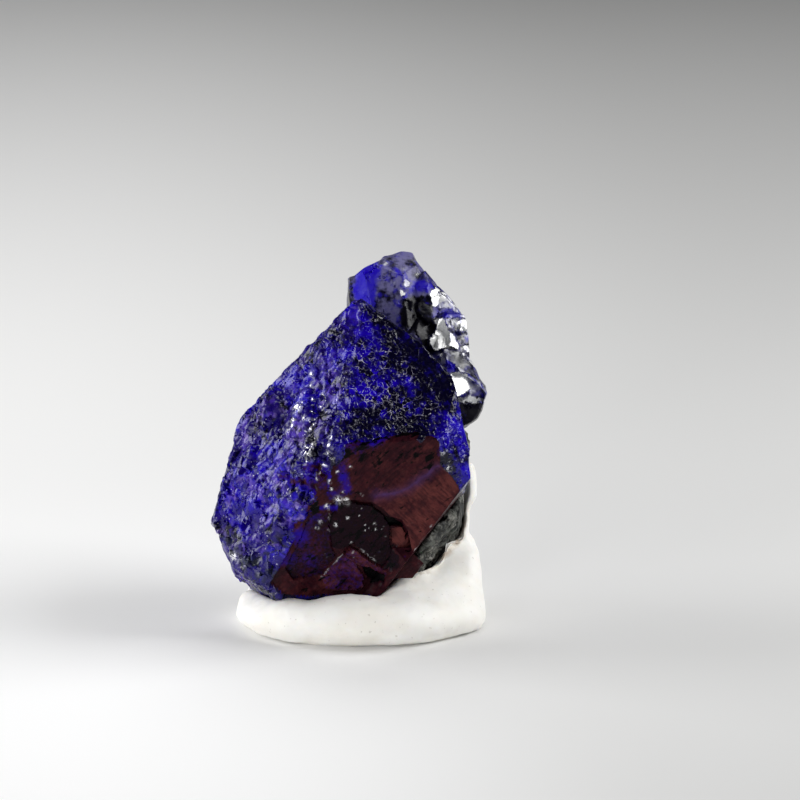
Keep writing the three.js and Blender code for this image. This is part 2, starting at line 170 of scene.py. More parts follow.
def halved(points, tri, mid):
    """Each triangle cut at the middles that its edges have, -1 where an edge has none."""
    a, b, c = tri.T
    ab, bc, ca = mid.T
    kind = (mid >= 0) @ np.array([1, 2, 4])
    new = []

    def keep(rows, *parts):
        for part in parts:
            new.append(np.stack([x[rows] for x in part], axis=1))

    keep(kind == 0, (a, b, c))
    keep(kind == 1, (a, ab, c), (ab, b, c))
    keep(kind == 2, (b, bc, a), (bc, c, a))
    keep(kind == 4, (c, ca, b), (ca, a, b))
    keep(kind == 7, (a, ab, ca), (ab, b, bc), (ca, bc, c), (ab, bc, ca))
    for which, (p, q, r, pq, qr) in {
        3: (a, b, c, ab, bc), 6: (b, c, a, bc, ca), 5: (c, a, b, ca, ab),
    }.items():
        rows = kind == which
        one = np.linalg.norm(points[p] - points[qr], axis=1)
        other = np.linalg.norm(points[r] - points[pq], axis=1)
        keep(rows, (pq, q, qr))
        keep(rows & (one < other), (p, pq, qr), (p, qr, r))
        keep(rows & (one >= other), (p, pq, r), (pq, qr, r))
    return np.concatenate(new)


def edges(triangles):
    return np.concatenate([triangles[:, [0, 1]], triangles[:, [1, 2]], triangles[:, [2, 0]]])


def surface(node, limit):
    """A CAD node's surface with no edge longer than limit(middle)."""
    return refined(*welded(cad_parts[node]), limit)


def refined(points, triangles, limit):
    """Halves the longest edges that are longer than limit(middle), again and again."""
    for _ in range(MAX_ROUNDS):
        pairs = edges(triangles)
        pairs.sort(axis=1)
        keys = pairs[:, 0].astype(np.int64) * len(points) + pairs[:, 1]
        unique, index = np.unique(keys, return_inverse=True)
        index = index.reshape(3, -1).T
        a, b = points[unique // len(points)], points[unique % len(points)]
        middle = (a + b) / 2
        length = np.linalg.norm(a - b, axis=1)
        longest = np.zeros(len(unique), bool)
        longest[index[np.arange(len(index)), length[index].argmax(axis=1)]] = True
        cut = longest & (length > limit(middle))
        if not cut.any():
            break
        number = np.full(len(unique), -1)
        number[cut] = len(points) + np.arange(cut.sum())
        points = np.concatenate([points, middle[cut]])
        triangles = halved(points, triangles, number[index])
    return points, triangles


def normals(points, triangles):
    """The outward direction at each point, from the triangles around it."""
    a, b, c = (points[triangles[:, k]] for k in range(3))
    flat = np.cross(b - a, c - a)
    total = np.zeros_like(points)
    for k in range(3):
        for axis in range(3):
            total[:, axis] += np.bincount(triangles[:, k], flat[:, axis], len(points))
    return unit(total)


def relaxed(points, triangles, rounds, share, hold=None):
    """Points moved towards the mean of their neighbours."""
    pairs = edges(triangles)
    pairs = np.concatenate([pairs, pairs[:, ::-1]])
    count = np.maximum(np.bincount(pairs[:, 0], minlength=len(points)), 1)
    points = points.copy()
    for _ in range(rounds):
        total = [np.bincount(pairs[:, 0], points[pairs[:, 1], k], len(points)) for k in range(3)]
        step = share * (np.stack(total, axis=1) / count[:, None] - points)
        if hold is not None:
            step *= (1 - hold)[:, None]
        points += step
    return points


def made(name, points, triangles, masks, materials, node, sharp=None, second=None):
    """An object of these points that stands for a CAD node, with its masks for the shader. The
    triangles that second is true for have the second material."""
    mesh = bpy.data.meshes.new(name)
    mesh.vertices.add(len(points))
    mesh.vertices.foreach_set("co", stood_up(points).astype(np.float32).ravel())
    mesh.loops.add(triangles.size)
    mesh.loops.foreach_set("vertex_index", triangles.astype(np.int32).ravel())
    mesh.polygons.add(len(triangles))
    mesh.polygons.foreach_set("loop_start", np.arange(0, triangles.size, 3, dtype=np.int32))
    mesh.update(calc_edges=True)
    mesh.validate()
    for key, values in masks.items():
        layer = mesh.attributes.new(key, "FLOAT", "POINT")
        layer.data.foreach_set("value", np.clip(values, 0, 1).astype(np.float32))
    mesh.shade_smooth()
    if sharp is not None:
        mesh.set_sharp_from_angle(angle=math.radians(sharp))
    for material in materials:
        mesh.materials.append(material)
    if second is not None:
        mesh.polygons.foreach_set("material_index", second.astype(np.int32))
    piece = bpy.data.objects.new(name, mesh)
    bpy.context.scene.collection.objects.link(piece)
    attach(piece, "root")
    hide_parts(node)
    return piece


# Materials


class Shader:
    """A small helper to write a material's nodes."""

    def __init__(self, name):
        self.material = bpy.data.materials.new(name)
        self.material.use_nodes = True
        self.nodes = self.material.node_tree.nodes
        self.links = self.material.node_tree.links
        self.bsdf = self.nodes["Principled BSDF"]
        self.place = self.nodes.new("ShaderNodeTexCoord").outputs["Object"]

    def set(self, **values):
        for key, value in values.items():
            self.put(self.bsdf.inputs[key.replace("_", " ")], value)

    def put(self, socket, value):
        if isinstance(value, bpy.types.NodeSocket):
            self.links.new(value, socket)
        else:
            socket.default_value = value

    def node(self, kind, inputs, **settings):
        node = self.nodes.new("ShaderNode" + kind)
        for name, value in settings.items():
            setattr(node, name, value)
        for key, value in inputs.items():
            self.put(node.inputs[key], value)
        return node

    def mask(self, name):
        return self.node("Attribute", {}, attribute_name=name).outputs["Fac"]

    def noise(self, scale, detail=3, rough=0.55, place=None):
        """scale is in bumps per millimetre."""
        inputs = {"Scale": scale / MM, "Detail": detail, "Roughness": rough}
        return self.node("TexNoise", {"Vector": place or self.place, **inputs}).outputs["Fac"]

    def sway(self, scale, detail=3, rough=0.55, place=None):
        """Noise about 0."""
        return self.math("SUBTRACT", self.noise(scale, detail, rough, place), 0.5)

    def cells(self, scale, feature="F1", output="Distance", place=None):
        inputs = {"Scale": scale / MM, "Vector": place or self.place}
        return self.node("TexVoronoi", inputs, feature=feature).outputs[output]

    def wandering(self, scale, amount):
        """The place, moved about by noise by up to about amount millimetres."""
        noise = self.node("TexNoise", {"Scale": scale / MM, "Detail": 2, "Vector": self.place})
        inputs = {0: noise.outputs["Color"], 1: [2 * amount * MM] * 3, 2: self.place}
        return self.node("VectorMath", inputs, operation="MULTIPLY_ADD").outputs[0]

    def math(self, operation, *values):
        return self.node("Math", dict(enumerate(values)), operation=operation).outputs[0]

    def times(self, a, b):
        return self.math("MULTIPLY", a, b)

    def plus(self, base, value, amount):
        """base + value * amount"""
        return self.math("MULTIPLY_ADD", value, amount, base)

    def ramp(self, value, low, high, start=0, end=1):
        """start where the value is low, end where it is high, and smooth between."""
        inputs = {"Value": value, "From Min": low, "From Max": high, "To Min": start, "To Max": end}
        return self.node("MapRange", inputs, interpolation_type="SMOOTHSTEP").outputs["Result"]

    def mix(self, share, a, b):
        return self.node("Mix", {"Factor": share, 6: a, 7: b}, data_type="RGBA").outputs[2]

    def coat(self, share, colour):
        """Lays colour over the base colour so far."""
        self.colour = self.mix(share, self.colour, colour)

    def turned(self, angles, stretch):
        """A place that is turned and then stretched."""
        rotation = [math.radians(a) for a in angles]
        inputs = {"Rotation": rotation, "Scale": stretch, "Vector": self.place}
        return self.node("Mapping", inputs, vector_type="TEXTURE").outputs["Vector"]

    def bump(self, height, strength, distance):
        inputs = {"Strength": strength, "Distance": distance * MM, "Height": height}
        self.put(self.bsdf.inputs["Normal"], self.node("Bump", inputs).outputs["Normal"])


NAVY = (0.0012, 0.0006, 0.01, 1)
ELECTRIC = (0.011, 0, 0.46, 1)
# Painted shade of the hollows on the left side, deep blue
HOLLOW_SHADE_BLUE = (0.009, 0.002, 0.14, 1)
# A painted sheen of blurred glints on the left side, violet and lilac
VIOLET = (0.06, 0.026, 0.35, 1)
LILAC = (0.17, 0.115, 0.43, 1)
MOSSY = (0.03, 0.036, 0.05, 1)
# Painted highlights: light pit rims and dots, and white glints
GLINT_LAVENDER = (0.8, 0.76, 0.92, 1)
GLINT = (0.93, 0.93, 0.96, 1)
# The smooth lower face's maroon, a painted reflection
MAROON_REFLECTION_DARK = (0.008, 0.002, 0.005, 1)
MAROON_REFLECTION = (0.036, 0.0065, 0.01, 1)
MAROON_REFLECTION_LIGHT = (0.11, 0.028, 0.026, 1)
MAROON_BLUE = (0.014, 0.003, 0.24, 1)
VEIN_PURPLE = (0.065, 0.028, 0.105, 1)
BLOTCH_BLACK = (0.001, 0.0006, 0.0012, 1)
# On the rear crystals: a painted sheen, black mottling and painted shade, and a painted highlight
REAR_VIOLET_SHEEN = (0.16, 0.15, 0.32, 1)
REAR_BLACK = (0.002, 0.0015, 0.006, 1)
REAR_HIGHLIGHT_WHITE = (0.93, 0.94, 0.93, 1)
ROCK_BLACK = (0.0025, 0.003, 0.0025, 1)
ROCK_GREY = (0.1, 0.105, 0.092, 1)
ROCK_GREEN = (0.025, 0.03, 0.022, 1)
ROCK_PALE = (0.24, 0.235, 0.21, 1)
ROCK_CRUMB = (0.02, 0.022, 0.02, 1)
PUTTY_WHITE = (0.97, 0.96, 0.92, 1)
PUTTY_CREAM = (0.92, 0.895, 0.83, 1)
PUTTY_SPECK = (0.35, 0.3, 0.24, 1)
# Brownish along the putty's border with the rock
PUTTY_EDGE_BROWN = (0.4, 0.29, 0.19, 1)

PITS_PER_MM = 1.55
GLINT_DOTS_PER_MM = 3.6
AZURITE_IOR = 1.76


def azurite_material():
    s = Shader("azurite")
    grain = s.sway(3.2, 4)
    place = s.wandering(2.2, 0.17)

    # The ground colour: blue from nearly black to electric, each pit of its own shade
    blue = s.plus(s.mask("blue"), grain, 0.6)
    blue = s.plus(blue, s.sway(0.55), 0.9)
    blue = s.plus(blue, s.sway(1.35), 1.9)
    shade = s.math("SUBTRACT", s.cells(PITS_PER_MM, "F1", "Color", place), 0.5)
    blue = s.plus(blue, s.times(shade, s.mask("pit_tone_and_rim_glints")), 2.2)
    s.colour = s.mix(s.ramp(blue, -0.05, 1.45), NAVY, ELECTRIC)

    # The left side: violet and lilac grains, a painted sheen of blurred glints, grey-green patches,
    # and deep blue painted shade in the hollows, placed by noise
    violet_sheen_and_vein = s.times(s.mask("violet_sheen_and_vein"), s.ramp(s.noise(0.85), 0.44, 0.6))
    s.coat(violet_sheen_and_vein, VIOLET)
    pearly = s.times(s.mask("violet_sheen_and_vein"), s.ramp(s.noise(1.05), 0.52, 0.66))
    s.coat(pearly, LILAC)
    s.coat(s.mask("mossy"), MOSSY)
    # Painted shade of hollows, deep blue, placed by noise
    small = s.ramp(s.noise(0.7), 0.5, 0.62, 0, 0.85)
    large = s.ramp(s.noise(0.27, 2), 0.52, 0.64, 0, 0.75)
    s.coat(s.times(s.mask("side"), s.math("MAXIMUM", small, large)), HOLLOW_SHADE_BLUE)

    # Painted highlights: light rims of the pits, broken here and there, and light dots
    rim_glint_lines = s.ramp(s.cells(PITS_PER_MM, "DISTANCE_TO_EDGE", place=place), 0.01, 0.05, 1, 0)
    rim_glint_lines = s.times(rim_glint_lines, s.ramp(s.noise(0.8), 0.42, 0.58, 0.1, 1))
    rim_glint_lines = s.times(rim_glint_lines, s.ramp(s.noise(1.7, 2), 0.44, 0.58, 0, 1))
    rim_glint_lines = s.times(rim_glint_lines, s.mask("pit_tone_and_rim_glints"))
    dot_glints = s.ramp(s.cells(GLINT_DOTS_PER_MM, "F1", "Distance", place), 0.1, 0.3, 1, 0)
    chosen = s.ramp(s.cells(GLINT_DOTS_PER_MM, "F1", "Color", place), 0.66, 0.7)
    dot_glints = s.times(s.times(dot_glints, chosen), s.mask("dirt_and_glint_specks"))
    s.coat(s.math("MAXIMUM", rim_glint_lines, dot_glints), GLINT_LAVENDER)

    # Painted glints, white and mirror-like
    pale_grains_and_glints = s.times(s.mask("pale_grains_and_glints"), s.ramp(s.noise(4.5, 2), 0.44, 0.54))
    s.coat(pale_grains_and_glints, GLINT)
    s.set(Base_Color=s.colour, IOR=AZURITE_IOR, Specular_IOR_Level=0.16, Metallic=pale_grains_and_glints)
    s.set(Roughness=s.plus(s.ramp(grain, -0.3, 0.3, 0.1, 0.26), s.mask("side"), 0.08))
    s.bump(s.noise(5), 0.25, 0.03)
    return s.material


def maroon_reflection_material():
    s = Shader("azurite_maroon_reflection")
    grain = s.sway(3.2, 4)
    rising = s.noise(3.6, place=s.turned((0, -45, 0), (5, 5, 1)))
    falling = s.noise(3.6, place=s.turned((0, 48, 0), (5, 5, 1)))
    hatch = s.math("ADD", s.times(rising, s.math("SUBTRACT", 1, s.mask("low"))),
                   s.times(falling, s.mask("low")))
    flakes = s.sway(1.6, 5, 0.65, s.turned((0, -35, 0), (2.5, 1, 1)))
    # The maroon is a painted reflection in the smooth face, lighter where the light mask is high
    light = s.plus(s.mask("light"), s.sway(0.5, 2), 0.8)
    light = s.plus(light, s.sway(1.7), 0.8)
    s.colour = s.mix(s.ramp(light, 0, 0.5), MAROON_REFLECTION_DARK, MAROON_REFLECTION)
    s.coat(s.ramp(light, 0.4, 1), MAROON_REFLECTION_LIGHT)
    s.coat(s.ramp(hatch, 0.38, 0.58, 0.55, 0), MAROON_REFLECTION_DARK)
    blue = s.plus(s.mask("blue"), grain, 0.8)
    s.coat(s.ramp(blue, 0.25, 1), MAROON_BLUE)
    s.coat(s.mask("violet_sheen_and_vein"), VEIN_PURPLE)
    # Black blotches, and painted shadow in the sunken steps of the break
    black = s.plus(s.mask("black"), flakes, 4.2)
    s.coat(s.ramp(black, 0.4, 0.7), BLOTCH_BLACK)
    # Painted glints
    pale_grains_and_glints = s.times(s.mask("pale_grains_and_glints"), s.ramp(s.noise(4.5, 2), 0.42, 0.52))
    s.coat(pale_grains_and_glints, GLINT)
    s.set(Base_Color=s.colour, IOR=1.5, Specular_IOR_Level=0.06, Metallic=pale_grains_and_glints)
    s.set(Roughness=s.ramp(grain, -0.3, 0.3, 0.16, 0.4))
    s.bump(hatch, 0.3, 0.03)
    return s.material


def rear_material(name, gloss):
    s = Shader(name)
    grain = s.sway(1.3, 5, 0.65)
    blue = s.plus(s.mask("blue"), grain, 2.2)
    s.colour = s.mix(s.ramp(blue, 0.2, 0.9), NAVY, ELECTRIC)
    # A painted sheen
    violet_sheen_and_vein = s.times(s.mask("violet_sheen_and_vein"), s.ramp(s.noise(0.9, 4, 0.65), 0.38, 0.6))
    s.coat(violet_sheen_and_vein, REAR_VIOLET_SHEEN)
    # Black mottling, and painted shade on the facets that lie in the dark
    black = s.plus(s.mask("black"), s.sway(1.5), 1.4)
    s.coat(s.ramp(black, 0.4, 0.9), REAR_BLACK)
    # Painted highlights on the facets that catch the light
    highlight = s.plus(s.mask("pale_grains_and_glints"), s.sway(1), 1.3)
    highlight = s.ramp(highlight, 0.4, 0.8)
    s.coat(highlight, REAR_HIGHLIGHT_WHITE)
    s.set(Base_Color=s.colour, IOR=AZURITE_IOR, Specular_IOR_Level=gloss)
    s.set(Roughness=s.ramp(grain, -0.3, 0.3, 0.2, 0.4), Metallic=s.times(highlight, 0.15))
    s.bump(s.noise(1.6), 0.2, 0.06)
    return s.material


def rock_material():
    s = Shader("matrix_rock")
    grain = s.noise(0.95, 4, 0.6)
    crumbs = s.cells(2.2, "F1", "Color")
    s.colour = s.mix(s.ramp(grain, 0.44, 0.62), ROCK_BLACK, ROCK_GREY)
    s.coat(s.ramp(s.noise(0.5), 0.5, 0.7, 0, 0.5), ROCK_GREEN)
    pale_grains_and_glints = s.times(s.mask("pale_grains_and_glints"), s.ramp(s.noise(3.4), 0.4, 0.6))
    s.coat(pale_grains_and_glints, ROCK_PALE)
    s.coat(s.ramp(crumbs, 0.75, 0.85, 0, 0.5), ROCK_CRUMB)
    s.set(Base_Color=s.colour, Roughness=s.ramp(grain, 0.3, 0.7, 0.55, 0.9))
    s.bump(s.noise(3, 5, 0.65), 0.6, 0.12)
    return s.material


def putty_material():
    s = Shader("putty")
    large = s.noise(0.25)
    s.colour = s.mix(s.ramp(large, 0.35, 0.7), PUTTY_WHITE, PUTTY_CREAM)
    dirt_and_glint_specks = s.ramp(s.noise(2.2, 2, 0.5), 0.68, 0.74)
    s.coat(s.times(dirt_and_glint_specks, 0.35), PUTTY_SPECK)
    # Brownish along the border with the rock
    edge_brown = s.times(s.mask("rock_edge_brown"), s.ramp(s.noise(0.9, 4), 0.3, 0.65))
    s.coat(edge_brown, PUTTY_EDGE_BROWN)
    s.set(Base_Color=s.colour, Roughness=s.ramp(large, 0.3, 0.7, 0.5, 0.7))
    s.set(Subsurface_Weight=0.15, Subsurface_Radius=(1.2 * MM, 0.9 * MM, 0.6 * MM))
    s.bump(s.noise(1.4, 4), 0.25, 0.15)
    return s.material


# Main crystal

RIDGE = (-1.5, 15.3, 7)
FACES = {
    "roof": ((0.0585, 0.368, 1), RIDGE),
    "band": ((0.2185, 0.486, 1), (3.2, 27.6, 2.21)),
    "left": ((-0.689, 0.366, 0.626), RIDGE),
    "left_low": ((-0.664, 0.05, 0.746), RIDGE),
    "front": ((0.126, -0.36, 1), RIDGE),
    "front_low": ((0.18, -0.467, 1), (6.1, 11.8, 4.79)),
    "right": ((0.75, 0.12, 0.65), (9.3, 16.3, 6)),
    "top_left": ((-0.7, 0.68, 0.04), (1.2, 29.8, 1.5)),
    "far_left": ((-0.96, 0.267, 0.06), (-10.5, 18.7, -4.9)),
    "far_left_low": ((-0.86, -0.379, 0.06), (-13.3, 7.6, -3.1)),
    "under_left": ((-0.5, -0.72, 0.1), (-11.2, 3.2, -0.8)),
    "under": ((0, -1, 0.05), (0, 0.2, 0)),
    "under_right": ((0.5, -0.866, 0.05), (5, 1.8, 0)),
    "low_right": ((0.787, -0.617, 0.06), (8.5, 7.45, 0)),
    "far_right": ((0.992, 0.124, -0.1), (11.7, 13.5, 3)),
    "top_right": ((0.596, 0.803, -0.2), (4.1, 27.7, 2)),
    "top_right_middle": ((0.738, 0.675, -0.2), (8.6, 23.8, 3.3)),
    "top_right_low": ((0.977, 0.215, -0.15), (10.75, 19.5, 4.5)),
    "behind_top": ((0.1, 0.66, -0.75), (1.2, 29.4, -1.6)),
    "behind": ((0.05, -0.05, -1), (0, 10, -7.5)),
    "behind_left": ((-0.7, 0.1, -0.7), (-10.5, 12, -6.5)),
    "behind_right": ((0.7, 0.1, -0.7), (9.5, 14, -5.5)),
}
FACE_NAMES = list(FACES)
FACE_NORMALS = unit([FACES[name][0] for name in FACE_NAMES])
FACE_LEVELS = np.array([FACE_NORMALS[i] @ FACES[n][1] for i, n in enumerate(FACE_NAMES)])
LEFT_FACES = ("left", "left_low", "top_left", "far_left", "far_left_low", "under_left")
LOWER_FACES = ("front", "front_low", "low_right", "under_right")
# The faces that the small crystals repeat
HABIT = unit(
    [FACES[n][0] for n in ("roof", "left", "front", "right", "top_left", "far_left", "under",
                           "low_right", "top_right", "behind", "behind_left", "under_left")]
)
BLEND = 0.12  # how softly one face passes into the next


def face_shares(points):
    """How much each point belongs to each face, by name, and its depth below the faces."""
    height = points @ FACE_NORMALS.T - FACE_LEVELS
    depth = -height.max(axis=1)
    share = np.exp((height - height.max(axis=1, keepdims=True)) / BLEND)
    share /= share.sum(axis=1, keepdims=True)
    return {name: share[:, i] for i, name in enumerate(FACE_NAMES)}, depth


def grown(points, out, size, seed):
    """How far each point is, along out, from the surface of small crystals that share the
    main crystal's faces, one to a cell."""
    base = np.floor(points / size)
    best = np.full(len(points), -0.6 * size)
    facing = out @ HABIT.T
    for step in product((-1, 0, 1), repeat=3):
        cell = base + np.array(step)
        centre = (cell + np.stack([hashed(cell, seed + k) for k in range(3)], axis=1)) * size
        reach = size * (0.35 + 0.35 * hashed(cell, seed + 3))
        slack = reach[:, None] - (points - centre) @ HABIT.T
        with np.errstate(divide="ignore", invalid="ignore"):
            way = slack / facing
        top = np.where(facing > 0.05, way, np.inf).min(axis=1)
        bottom = np.where(facing < -0.05, way, -np.inf).max(axis=1)
        best = np.maximum(best, np.where(top > bottom, top, -np.inf))
    return np.clip(best, -0.25 * size, 0.9 * size)


# Patches of clear electric blue and of black on the front, as seen: u, v, radius, strength
BLUE_PATCHES = [
    (0.6, 28.6, 1.3, 0.5), (1.9, 27, 1.2, 0.6), (3.6, 26.6, 0.9, 0.4), (-0.1, 24.9, 0.9, 0.7),
    (2.4, 24.2, 1.2, 0.3), (0.9, 20.6, 1.1, 0.5), (2.8, 21, 0.9, 0.4), (6, 21.9, 1, 0.6),
    (8, 20.5, 1.3, 0.3), (9.8, 17.6, 1.9, 0.75), (7.6, 17, 1.2, 0.5), (3.6, 16.6, 1.2, 0.3),
    (10.9, 15.6, 1.6, 0.6), (-1.2, 19.2, 1, 0.4), (-2.2, 16.4, 1.2, 0.5), (-4.6, 20.4, 1.6, 0.4),
    (-7.2, 21.4, 2, 0.4), (-8.4, 16.6, 2.1, 0.65), (-3.4, 12, 1.1, 0.5), (-5.4, 13.5, 1.6, 0.4),
    (-8.2, 9.6, 1.6, 0.5), (-11.4, 9.8, 1.7, 0.9), (-11, 7.2, 1.2, 0.5), (-5, 6.6, 1, 0.8),
    (-6.4, 4.4, 1, 0.8), (-7.6, 1.8, 1.1, 0.8), (-0.8, 12.4, 1, 0.3), (6.6, 2.6, 0.8, 0.4),
    (11.3, 13, 1.1, 1.1),
]
BLACK_PATCHES = [
    (3.6, 28.2, 1.2, 0.8), (5, 26.4, 1.6, 0.9), (7, 24.6, 1.8, 0.9), (8.6, 22.4, 1.6, 0.8),
    (5.4, 24.2, 1.6, 0.5), (6.2, 18.8, 2.2, 0.6), (3.6, 18.4, 1.6, 0.35), (8.4, 19, 1.2, 0.4),
    (10.4, 12.9, 1.1, 0.8), (5.6, 16.2, 1.6, 0.6), (-3, 9.4, 1, 0.7), (-7, 11.4, 1, 0.4),
    (-8, 0.6, 1.8, 0.9), (-10.5, 2, 1.2, 0.6), (-6.4, 2.6, 0.8, 0.3), (6.8, 17, 1.3, 0.7),
    (3.4, 17.6, 1.4, 0.55), (0.8, 17.6, 1.3, 0.5), (8.6, 16.9, 0.8, 0.4),
]
# The painted maroon reflection reaches onto the left side in these patches
MAROON_REFLECTION_PATCHES = [(-5.2, 12.2, 1.5, 0.9), (-3.2, 13, 1.3, 0.9), (-7, 12.6, 1, 0.6),
                  (-2.6, 11.4, 1.3, 0.9), (-9, 2.2, 1, 0.8)]
# Grey-green patches low on the left side
MOSSY_PATCHES = [(-11.6, 4.6, 1.3, 0.8), (-9.6, 3.2, 1.4, 0.8), (-7.6, 2.4, 1, 0.5),
                 (-12.2, 6.4, 0.8, 0.5), (-8.4, 0.6, 1.2, 0.7)]
# The purple vein across the lower face, from end to end, a blue streak in its top edge and the
# line of painted glint dots where the pitted face meets the left side
VEIN = ((2.6, 10.5), (4.3, 10.7), (5.8, 11.2), (7.4, 12.4), (8.8, 13.4))
STREAK = ((2.2, 15.9), (4.2, 16.7))
RIDGE_GLINT_LINE = ((-0.4, 27), (-1, 21), (-1.1, 15.8))
# How far right the painted maroon reflection on the lower face reaches at each height
MAROON_REFLECTION_RIGHT = ((10, 11.5, 13.2, 13.6, 17), (11.5, 10.7, 9.4, 9, 8.8))
BREAK_TOP = 10.6
PIT_SIZE = 0.6
GRAIN_SIZE = 1.15
STRIA_PITCH = 0.34


def patches(points, spots):
    return sum(strength * spot(points, u, v, r) for u, v, r, strength in spots)


def line_distance(points, line):
    """Distance, as seen from the front, from a bent line."""
    p = points[:, :2]
    nearest = np.full(len(p), 99.0)
    for a, b in zip(line, line[1:]):
        a, b = np.array(a), np.array(b)
        t = np.clip((p - a) @ (b - a) / ((b - a) @ (b - a)), 0, 1)
        nearest = np.minimum(nearest, np.linalg.norm(p - a - t[:, None] * (b - a), axis=1))
    return nearest


# The steps of the break across the lower front: corners as seen, how far each stands out, its
# slopes to the right and up, and how light, blue and black it is. The lightness is part of the
# painted maroon reflection, and the black of the sunken steps is painted shadow in the crack.
STEPS = [
    ([(-4, 8.4), (-2.1, 9), (-1.9, 5.5), (-1.5, 4.5), (-2.8, 2.5), (-5.6, 2), (-6.4, 3.2),
      (-4.8, 6.3)], -0.1, (0.12, 0), 0.2, 0.3, 0.15),
    ([(-1.8, 9.7), (0, 10), (2, 9.7), (3.4, 8.5), (4, 7.5), (4, 5.5), (4.9, 4.3),
      (4.8, 3.3), (3.8, 2.8), (2, 4.3), (0.2, 5.9), (-0.8, 5.3), (-1.8, 5.5), (-2.1, 7.5)],
     0.3, (-0.06, 0.05), 0, 0.2, 0.3),
    ([(3.4, 8.4), (4.4, 8.2), (5.2, 7.7), (6, 5.7), (6.5, 4.9), (5.9, 4.8), (5.4, 6.7),
      (4.9, 7.4), (4, 7.5)], -0.55, (0, 0), -0.3, 0, 1.2),
    ([(4.2, 7.1), (5.1, 7.4), (5.7, 6.3), (5.8, 5.5), (5.2, 5.2), (4.2, 5.7)],
     0.05, (0.25, -0.1), 1, 0, -0.3),
    ([(-0.7, 4.6), (0.6, 3.7), (1.4, 2.3), (1, 1.2), (-2.6, 1.3), (-2.8, 2.4)],
     0.15, (0.1, -0.15), 0.6, 0.4, 0),
    ([(0, 5.5), (4, 2.8), (3.6, 2.1), (0.6, 3.8), (-0.7, 4.7)], 0.3, (0.1, 0.3), 0.6, 0.35, -0.1),
    ([(1.2, 3.5), (2, 3.4), (3.6, 2.3), (3.2, 1.8), (1.7, 2.2)], -0.3, (0, 0), 0, 0, 1.2),
    ([(5.2, 4.3), (6.4, 4.7), (6.9, 3.9), (6.8, 2.7), (6, 2.2), (5.1, 2.9)],
     0.1, (0.3, 0), 0.45, 0.6, 0),
    ([(4, 2.3), (5.2, 2.7), (6, 2.2), (5.2, 1.3), (2.8, 1.2)], 0, (0, 0.2), 0.65, 0.3, 0),
]
# Painted highlights along thin bright edges: ends as seen, half width, strength
GLINT_LINES = [
    (((-0.7, 4.65), (-2.8, 2.4)), 0.05, 0.5), (((0.2, 5.8), (4, 2.75)), 0.05, 0.45),
    (((8.2, 7.6), (6.5, 4.9)), 0.06, 0.7), (((6.85, 4.7), (7, 2.7)), 0.05, 0.5),
    (((-2.1, 9.4), (-2, 7.1)), 0.05, 0.4),
]
# Painted highlights in points, as seen: u, v, radius, strength
GLINT_SPOTS = [
    (-1.1, 10.1, 0.28, 1.6), (-0.3, 9.95, 0.24, 1.6), (-1.4, 7.6, 0.14, 1.5), (-0.2, 8.3, 0.1, 1.5),
    (2.5, 7.7, 0.1, 1.5), (2.6, 7.1, 0.09, 1.2), (-2.3, 9.5, 0.16, 1.5), (9.2, 14.7, 0.16, 1.3),
    (-2.1, 15.6, 0.14, 1.4), (-1.9, 16.3, 0.12, 1.3), (0.1, 13.4, 0.1, 1.3), (9.8, 13.2, 0.2, 1.3),
    (-2.2, 14.8, 0.13, 1.5), (-1.6, 14.2, 0.1, 1.5), (-2.6, 13.6, 0.12, 1.3), (-1.2, 12.9, 0.12, 1.4),
    (-3.2, 12.2, 0.1, 1.2), (-2, 12, 0.14, 1.2), (-1.8, 11.2, 0.1, 1.2), (-0.6, 10.9, 0.1, 1.2),
    (-8, 10.4, 0.16, 1.3), (-9.6, 13.2, 0.14, 1.2), (-5.3, 19.3, 0.3, 1.5), (-4.6, 18.2, 0.16, 1.2),
    (-3.6, 20.1, 0.16, 1.2), (-10.8, 10.6, 0.14, 1.2), (-2.9, 7.9, 0.16, 1.3), (-3.2, 7.3, 0.12, 1.3),
    (-11.8, 4.3, 0.35, 1.6), (-6.2, 16.8, 0.14, 1.1), (-3.9, 22.6, 0.14, 1.1),
]
# Where the lower face, under its painted maroon reflection, is bluish and where it is blotched black
FACE_BLUE = [
    (-0.3, 11.4, 0.7, 1), (-0.6, 12.4, 0.6, 1), (-1.4, 10.6, 0.7, 0.9), (0.2, 15.6, 1.5, 0.7),
    (2.6, 16.2, 1.2, 0.6), (-0.8, 13.6, 0.9, 0.6), (-2.6, 11.6, 0.9, 0.5), (2.2, 11, 1.4, 0.3),
    (-3.6, 8.6, 0.8, 0.6), (-5, 6.4, 0.9, 1), (-6.4, 4.2, 0.9, 1), (-3.9, 4, 0.8, 0.5),
    (9, 14.8, 0.7, 0.5),
]
FACE_BLACK = [
    (4.2, 15.7, 1.3, 0.45), (5.6, 15.3, 1.3, 0.5), (7.6, 14.7, 1.2, 0.5), (8.4, 13.2, 0.8, 0.1),
    (1.4, 14.9, 1.7, 0.35), (-3.4, 9.2, 0.5, 1.2), (2.4, 16.4, 1.4, 0.4), (3.2, 13.4, 1.8, 0.25),
    (8.6, 15.6, 1, 0.3), (6.6, 12.6, 2, 0.15),
]


def inside(points, corners):
    """True for the points that lie within the corners as seen from the front."""
    u, v = points[:, 0], points[:, 1]
    within = np.zeros(len(points), bool)
    for (u0, v0), (u1, v1) in zip(corners, corners[1:] + corners[:1]):
        crosses = (v0 > v) != (v1 > v)
        rise = v1 - v0 if v1 != v0 else 1e-9
        within ^= crosses & (u < (u1 - u0) * (v - v0) / rise + u0)
    return within


